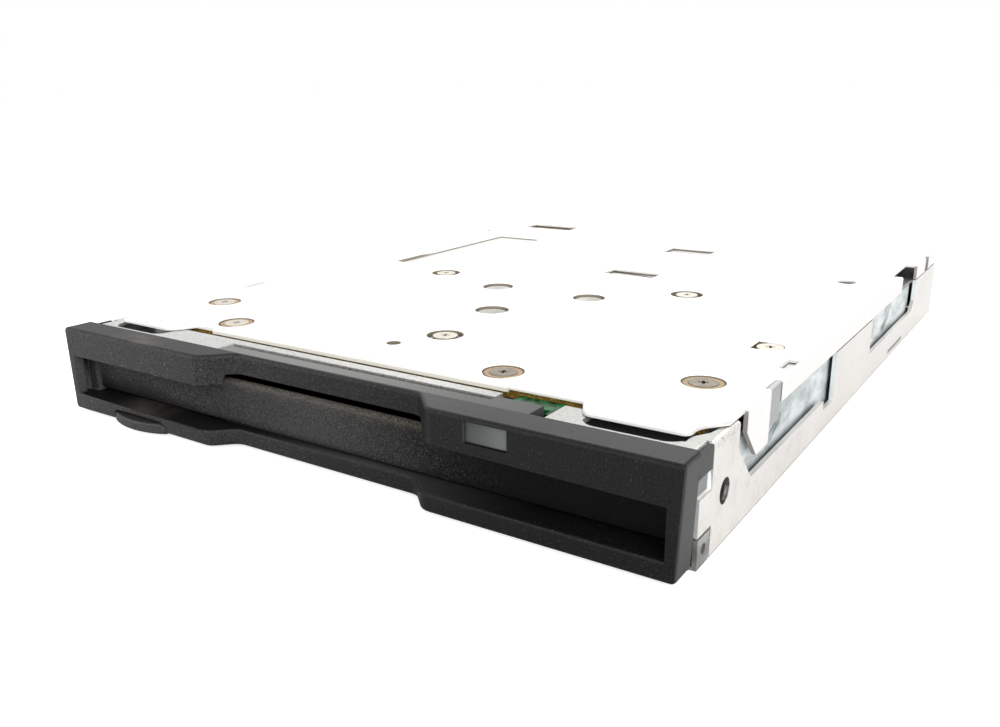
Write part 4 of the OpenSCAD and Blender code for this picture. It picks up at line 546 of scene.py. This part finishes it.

# Painted shade: the holes' cut edges are painted dark brown, and at the rear windows only their lower part.
cover_edge_shade = upright * pale.band(pale.y, RIM_BACK, COVER_HIGH.y - COVER_SHEET)
cover_edge_shade = cover_edge_shade * (1 - pale.ramp(cover_side, SHOULDER_OUT - 0.0002, SHOULDER_OUT))
below_shade_top = 1 - pale.ramp(pale.z, SHADE_TOP_LINE - 0.00006, SHADE_TOP_LINE)
cover_edge_shade = cover_edge_shade * below_shade_top.most(1 - pale.ramp(pale.y, REAR_WINDOWS - 0.005, REAR_WINDOWS))
pale_color = pale.mix(cover_edge_shade * 0.85, pale_color, tone(116, 101, 72))
# Painted shade: the tab's cut edge is painted grey.
tab_edge_shade = pale.ramp(cover_side, COVER_HIGH.x - COVER_SHEET, COVER_HIGH.x - COVER_SHEET + 0.0001)
tab_edge_shade = tab_edge_shade * (1 - pale.ramp(abs(pale.nx), 0.3, 0.7))
tab_edge_shade = tab_edge_shade * (1 - pale.ramp(pale.z, TAB_LOW, TAB_LOW + 0.0003))
pale_color = pale.mix(tab_edge_shade * 0.7, pale_color, tone(116, 108, 100))
pale.lay(pale_color, 0.42 + pale_rough, pale_height, 0.000006, (1 - upright) * 0.3)
rounded("circuit_cover", "drive", "pale_sheet", pale.material,
        (0.0009, 4, on_shoulder_corner), (0.00028, 4, on_cover_rim))


# Bezel, flap and button. Charcoal moulded plastic with a fine spark-eroded grain. Ears hold the bezel
# in the frame's walls, the flap turns in its lugs, and the button sits on the slider's tongue. Pale
# dust and painted sheen lie on the roof's middle and the right end, and painted light and dust on the
# left. Dust lies along the flap's upper edge, painted light on its middle, and painted shade on its
# right and its foot.
BEZEL_LOW, BEZEL_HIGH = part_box("front_bezel")
LIP_BACK, FACE_BACK = FRONT + 0.004, FRONT + 0.0043
END_ROUND = 0.0006
SHORTEST_RIM = 0.00012
CUT_IN, CUT_OUT, CUT_BACK = 0.014, 0.019, FRONT + 0.0039
SLOT_LOW, SLOT_HIGH = 0.0028, 0.0087
SLOT_SLACK = 0.00012
SHORTEST_UPRIGHT = 0.001
ROOF_LEFT, ROOF_RIGHT = -0.0188, 0.0303
ROOF_FADE, ROOF_FADED = -0.004, 0.042
MIDDLE_LEFT, MIDDLE_RIGHT = -0.004, 0.018
RUB_LEFT, RUB_RIGHT = -0.036, -0.029
LIGHT_DUST_LEFT, LIGHT_DUST_RIGHT = -0.045, 0.03


def on_cut_corner(a, b):
    """The upright corners of the finger cut."""
    upright_edge = (a - b).to_2d().length < NEAR and abs(a.z - b.z) > SHORTEST_UPRIGHT
    return upright_edge and CUT_IN < abs(a.x) < CUT_OUT and a.y < CUT_BACK


def on_slot_rim(a, b):
    """The slot's upper and lower edges in the bezel's face."""
    on_rim = abs(a.z - SLOT_LOW) < SLOT_SLACK or abs(a.z - SLOT_HIGH) < NEAR
    return on_rim and abs(a.z - b.z) < NEAR and max(a.y, b.y) < CUT_BACK


def on_bezel_front(a, b):
    """The face's outline: its top, its foot and both ends."""
    if max(a.y, b.y) > FACE_BACK or (a - b).length < SHORTEST_RIM:
        return False
    outer = min(a.z, b.z) > BEZEL_HIGH.z - NEAR or max(a.z, b.z) < BEZEL_LOW.z + NEAR
    end = min(abs(a.x), abs(b.x)) > BEZEL_HIGH.x - END_ROUND
    return (outer and min(a.y, b.y) < LIP_BACK) or end


def on_button_front(a, b):
    """The edges of the button's nose."""
    return max(a.y, b.y) < FRONT + 0.0001


def charcoal(name, light, dark, rough, depth, shine, specks):
    """Finish, colour, roughness, height and depth of grained plastic, lighter to the left with painted light
    and dust, and more specked there.
    """
    plastic = Finish(name, Specular_IOR_Level=shine)
    grain = plastic.noise(3600, 3, 0.6)
    wide = plastic.noise(90, 4)
    color = plastic.mix(plastic.ramp(grain, 0.4, 0.68), dark, light)
    color = plastic.mix(plastic.ramp(wide, 0.4, 0.7) * 0.35, color, dark)
    # Painted light and dust: faces that don't face up are painted lighter towards the left.
    light_and_dust = (1 - plastic.ramp(plastic.x, LIGHT_DUST_LEFT, LIGHT_DUST_RIGHT)) * (1 - plastic.ramp(plastic.nz, 0.7, 0.95))
    color = plastic.mix(light_and_dust * (0.2 + plastic.ramp(grain, 0.35, 0.65) * 0.45), color, tone(78, 78, 77))
    speck = plastic.ramp(plastic.noise(4200, 2, 0.7), 0.63, 0.7) * plastic.ramp(wide, 0.38, 0.6)
    color = plastic.mix(speck * (0.15 + light_and_dust * specks), color, tone(166, 162, 154))
    return plastic, color, rough + grain * 0.16 + wide * 0.06, grain, depth


bezel, bezel_color, *bezel_grain = charcoal(
    "bezel_plastic", tone(26, 26, 27), tone(11, 11, 12), rough=0.34, depth=0.00002, shine=0.2, specks=0.6)
upward = bezel.ramp(bezel.nz, 0.7, 0.95)
roof = bezel.ramp(bezel.y, LIP_BACK, FACE_BACK) * bezel.band(bezel.x, ROOF_LEFT, ROOF_RIGHT, 0.0005)
roof = roof * (1 - bezel.ramp(bezel.x, ROOF_FADE, ROOF_FADED) * 0.9)
# Painted sheen and dust: the roof, its middle and the faces towards the right are painted lighter.
dust_and_sheen = upward * roof.most(bezel.band(bezel.x, MIDDLE_LEFT, MIDDLE_RIGHT, 0.014) * 0.3)
dust_and_sheen = dust_and_sheen.most(bezel.ramp(bezel.nx, 0.7, 0.95) * 0.3)
bezel_color = bezel.mix(dust_and_sheen, bezel_color, tone(126, 126, 124))
rubbed = upward * bezel.band(bezel.x, RUB_LEFT, RUB_RIGHT, 0.004) * bezel.ramp(bezel.noise(260, 3), 0.3, 0.7)
bezel_color = bezel.mix(rubbed * 0.5, bezel_color, tone(112, 100, 94))
bezel.lay(bezel_color, *bezel_grain)
rounded("front_bezel", "drive", "bezel_plastic", bezel.material,
        (0.0008, 4, on_cut_corner), (0.00055, 4, on_bezel_front), (0.0003, 3, on_slot_rim))

FLAP_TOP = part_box("slot_flap")[1].z
SHADE_LEFT, SHADE_RIGHT = -0.002, 0.034
MIDDLE_LIGHT_LEFT, MIDDLE_LIGHT_RIGHT = -0.012, 0.01
FOOT_SHADE_LEFT, FOOT_SHADE_RIGHT = -0.036, -0.02
# Per metre of height: the painted shade fades within 1.6 mm, and within 4.3 mm at the far left
FOOT_SHADE_FADE, FOOT_SHADE_TALLER = 620, 390
FALLEN_LEFT, FALLEN_RIGHT = -0.004, 0.021
flap, flap_color, *flap_grain = charcoal(
    "flap_plastic", tone(52, 52, 52), tone(16, 16, 17), rough=0.5, depth=0.00005, shine=0.1, specks=0.2)
flap_color = flap.mix(flap.ramp(flap.x, SHADE_LEFT, SHADE_RIGHT) * 0.9, flap_color, tone(3, 3, 4))
# Painted light: the flap's middle, behind the finger cut, is painted lighter.
middle_light = flap.band(flap.x, MIDDLE_LIGHT_LEFT, MIDDLE_LIGHT_RIGHT, 0.012)
flap_color = flap.mix(middle_light * 0.2, flap_color, tone(99, 99, 100))
far_left = 1 - flap.ramp(flap.x, FOOT_SHADE_LEFT, FOOT_SHADE_RIGHT)
# Painted shade: the flap's foot is painted near black, and taller at the far left.
foot_shade = 1 - flap.ramp((flap.z - SLOT_LOW) * (FOOT_SHADE_FADE - far_left * FOOT_SHADE_TALLER), 0, 1)
flap_color = flap.mix(foot_shade * 0.95, flap_color, tone(2, 2, 3))
lint = flap.noise(5200, 4, 0.75)
drift = flap.z + flap.noise(500, 4) * 0.0016
dusty = flap.ramp(drift, FLAP_TOP - 0.0007, FLAP_TOP + 0.0004) * flap.ramp(lint, 0.42, 0.6) * 0.6
fallen = flap.band(flap.x, FALLEN_LEFT, FALLEN_RIGHT, 0.008) * flap.ramp(lint, 0.57, 0.64)
flap_color = flap.mix(dusty.most(fallen * 0.5), flap_color, tone(116, 108, 98))
flap.lay(flap_color, *flap_grain)
dress(flap.material, "slot_flap")

button, button_color, *button_grain = charcoal(
    "button_plastic", tone(58, 56, 55), tone(34, 33, 33), rough=0.36, depth=0.00001, shine=0.3, specks=0.2)
button.lay(button_color, *button_grain)
rounded("eject_button", "slider", "button_plastic", button.material, (0.0003, 4, on_button_front))


# Lamp lens and holder. A cloudy clear window pressed in the bezel, and a clear green holder that
# carries the lamp at the board's edge.
LENS_LOW, LENS_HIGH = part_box("lamp_lens")

lens = Finish("lens_plastic", IOR=1.49)
haze = lens.noise(700, 4)
lit = lens.ramp(lens.x - lens.z * 0.4, LENS_LOW.x - 0.005, LENS_HIGH.x - 0.003)
lens_color = lens.mix(lit * 0.8 + haze * 0.2, tone(46, 49, 48), tone(112, 116, 115))
lens.lay(lens_color, 0.22 + haze * 0.2, haze, 0.00002)
dress(lens.material, "lamp_lens")

holder = Finish("green_plastic", Specular_IOR_Level=0.15)
swirl = holder.noise(900, 4)
holder_color = holder.mix(holder.ramp(swirl, 0.35, 0.65), tone(46, 116, 66), tone(6, 36, 19))
holder.lay(holder_color, 0.22 + swirl * 0.15, swirl, 0.00002)
dress(holder.material, "lamp_holder")
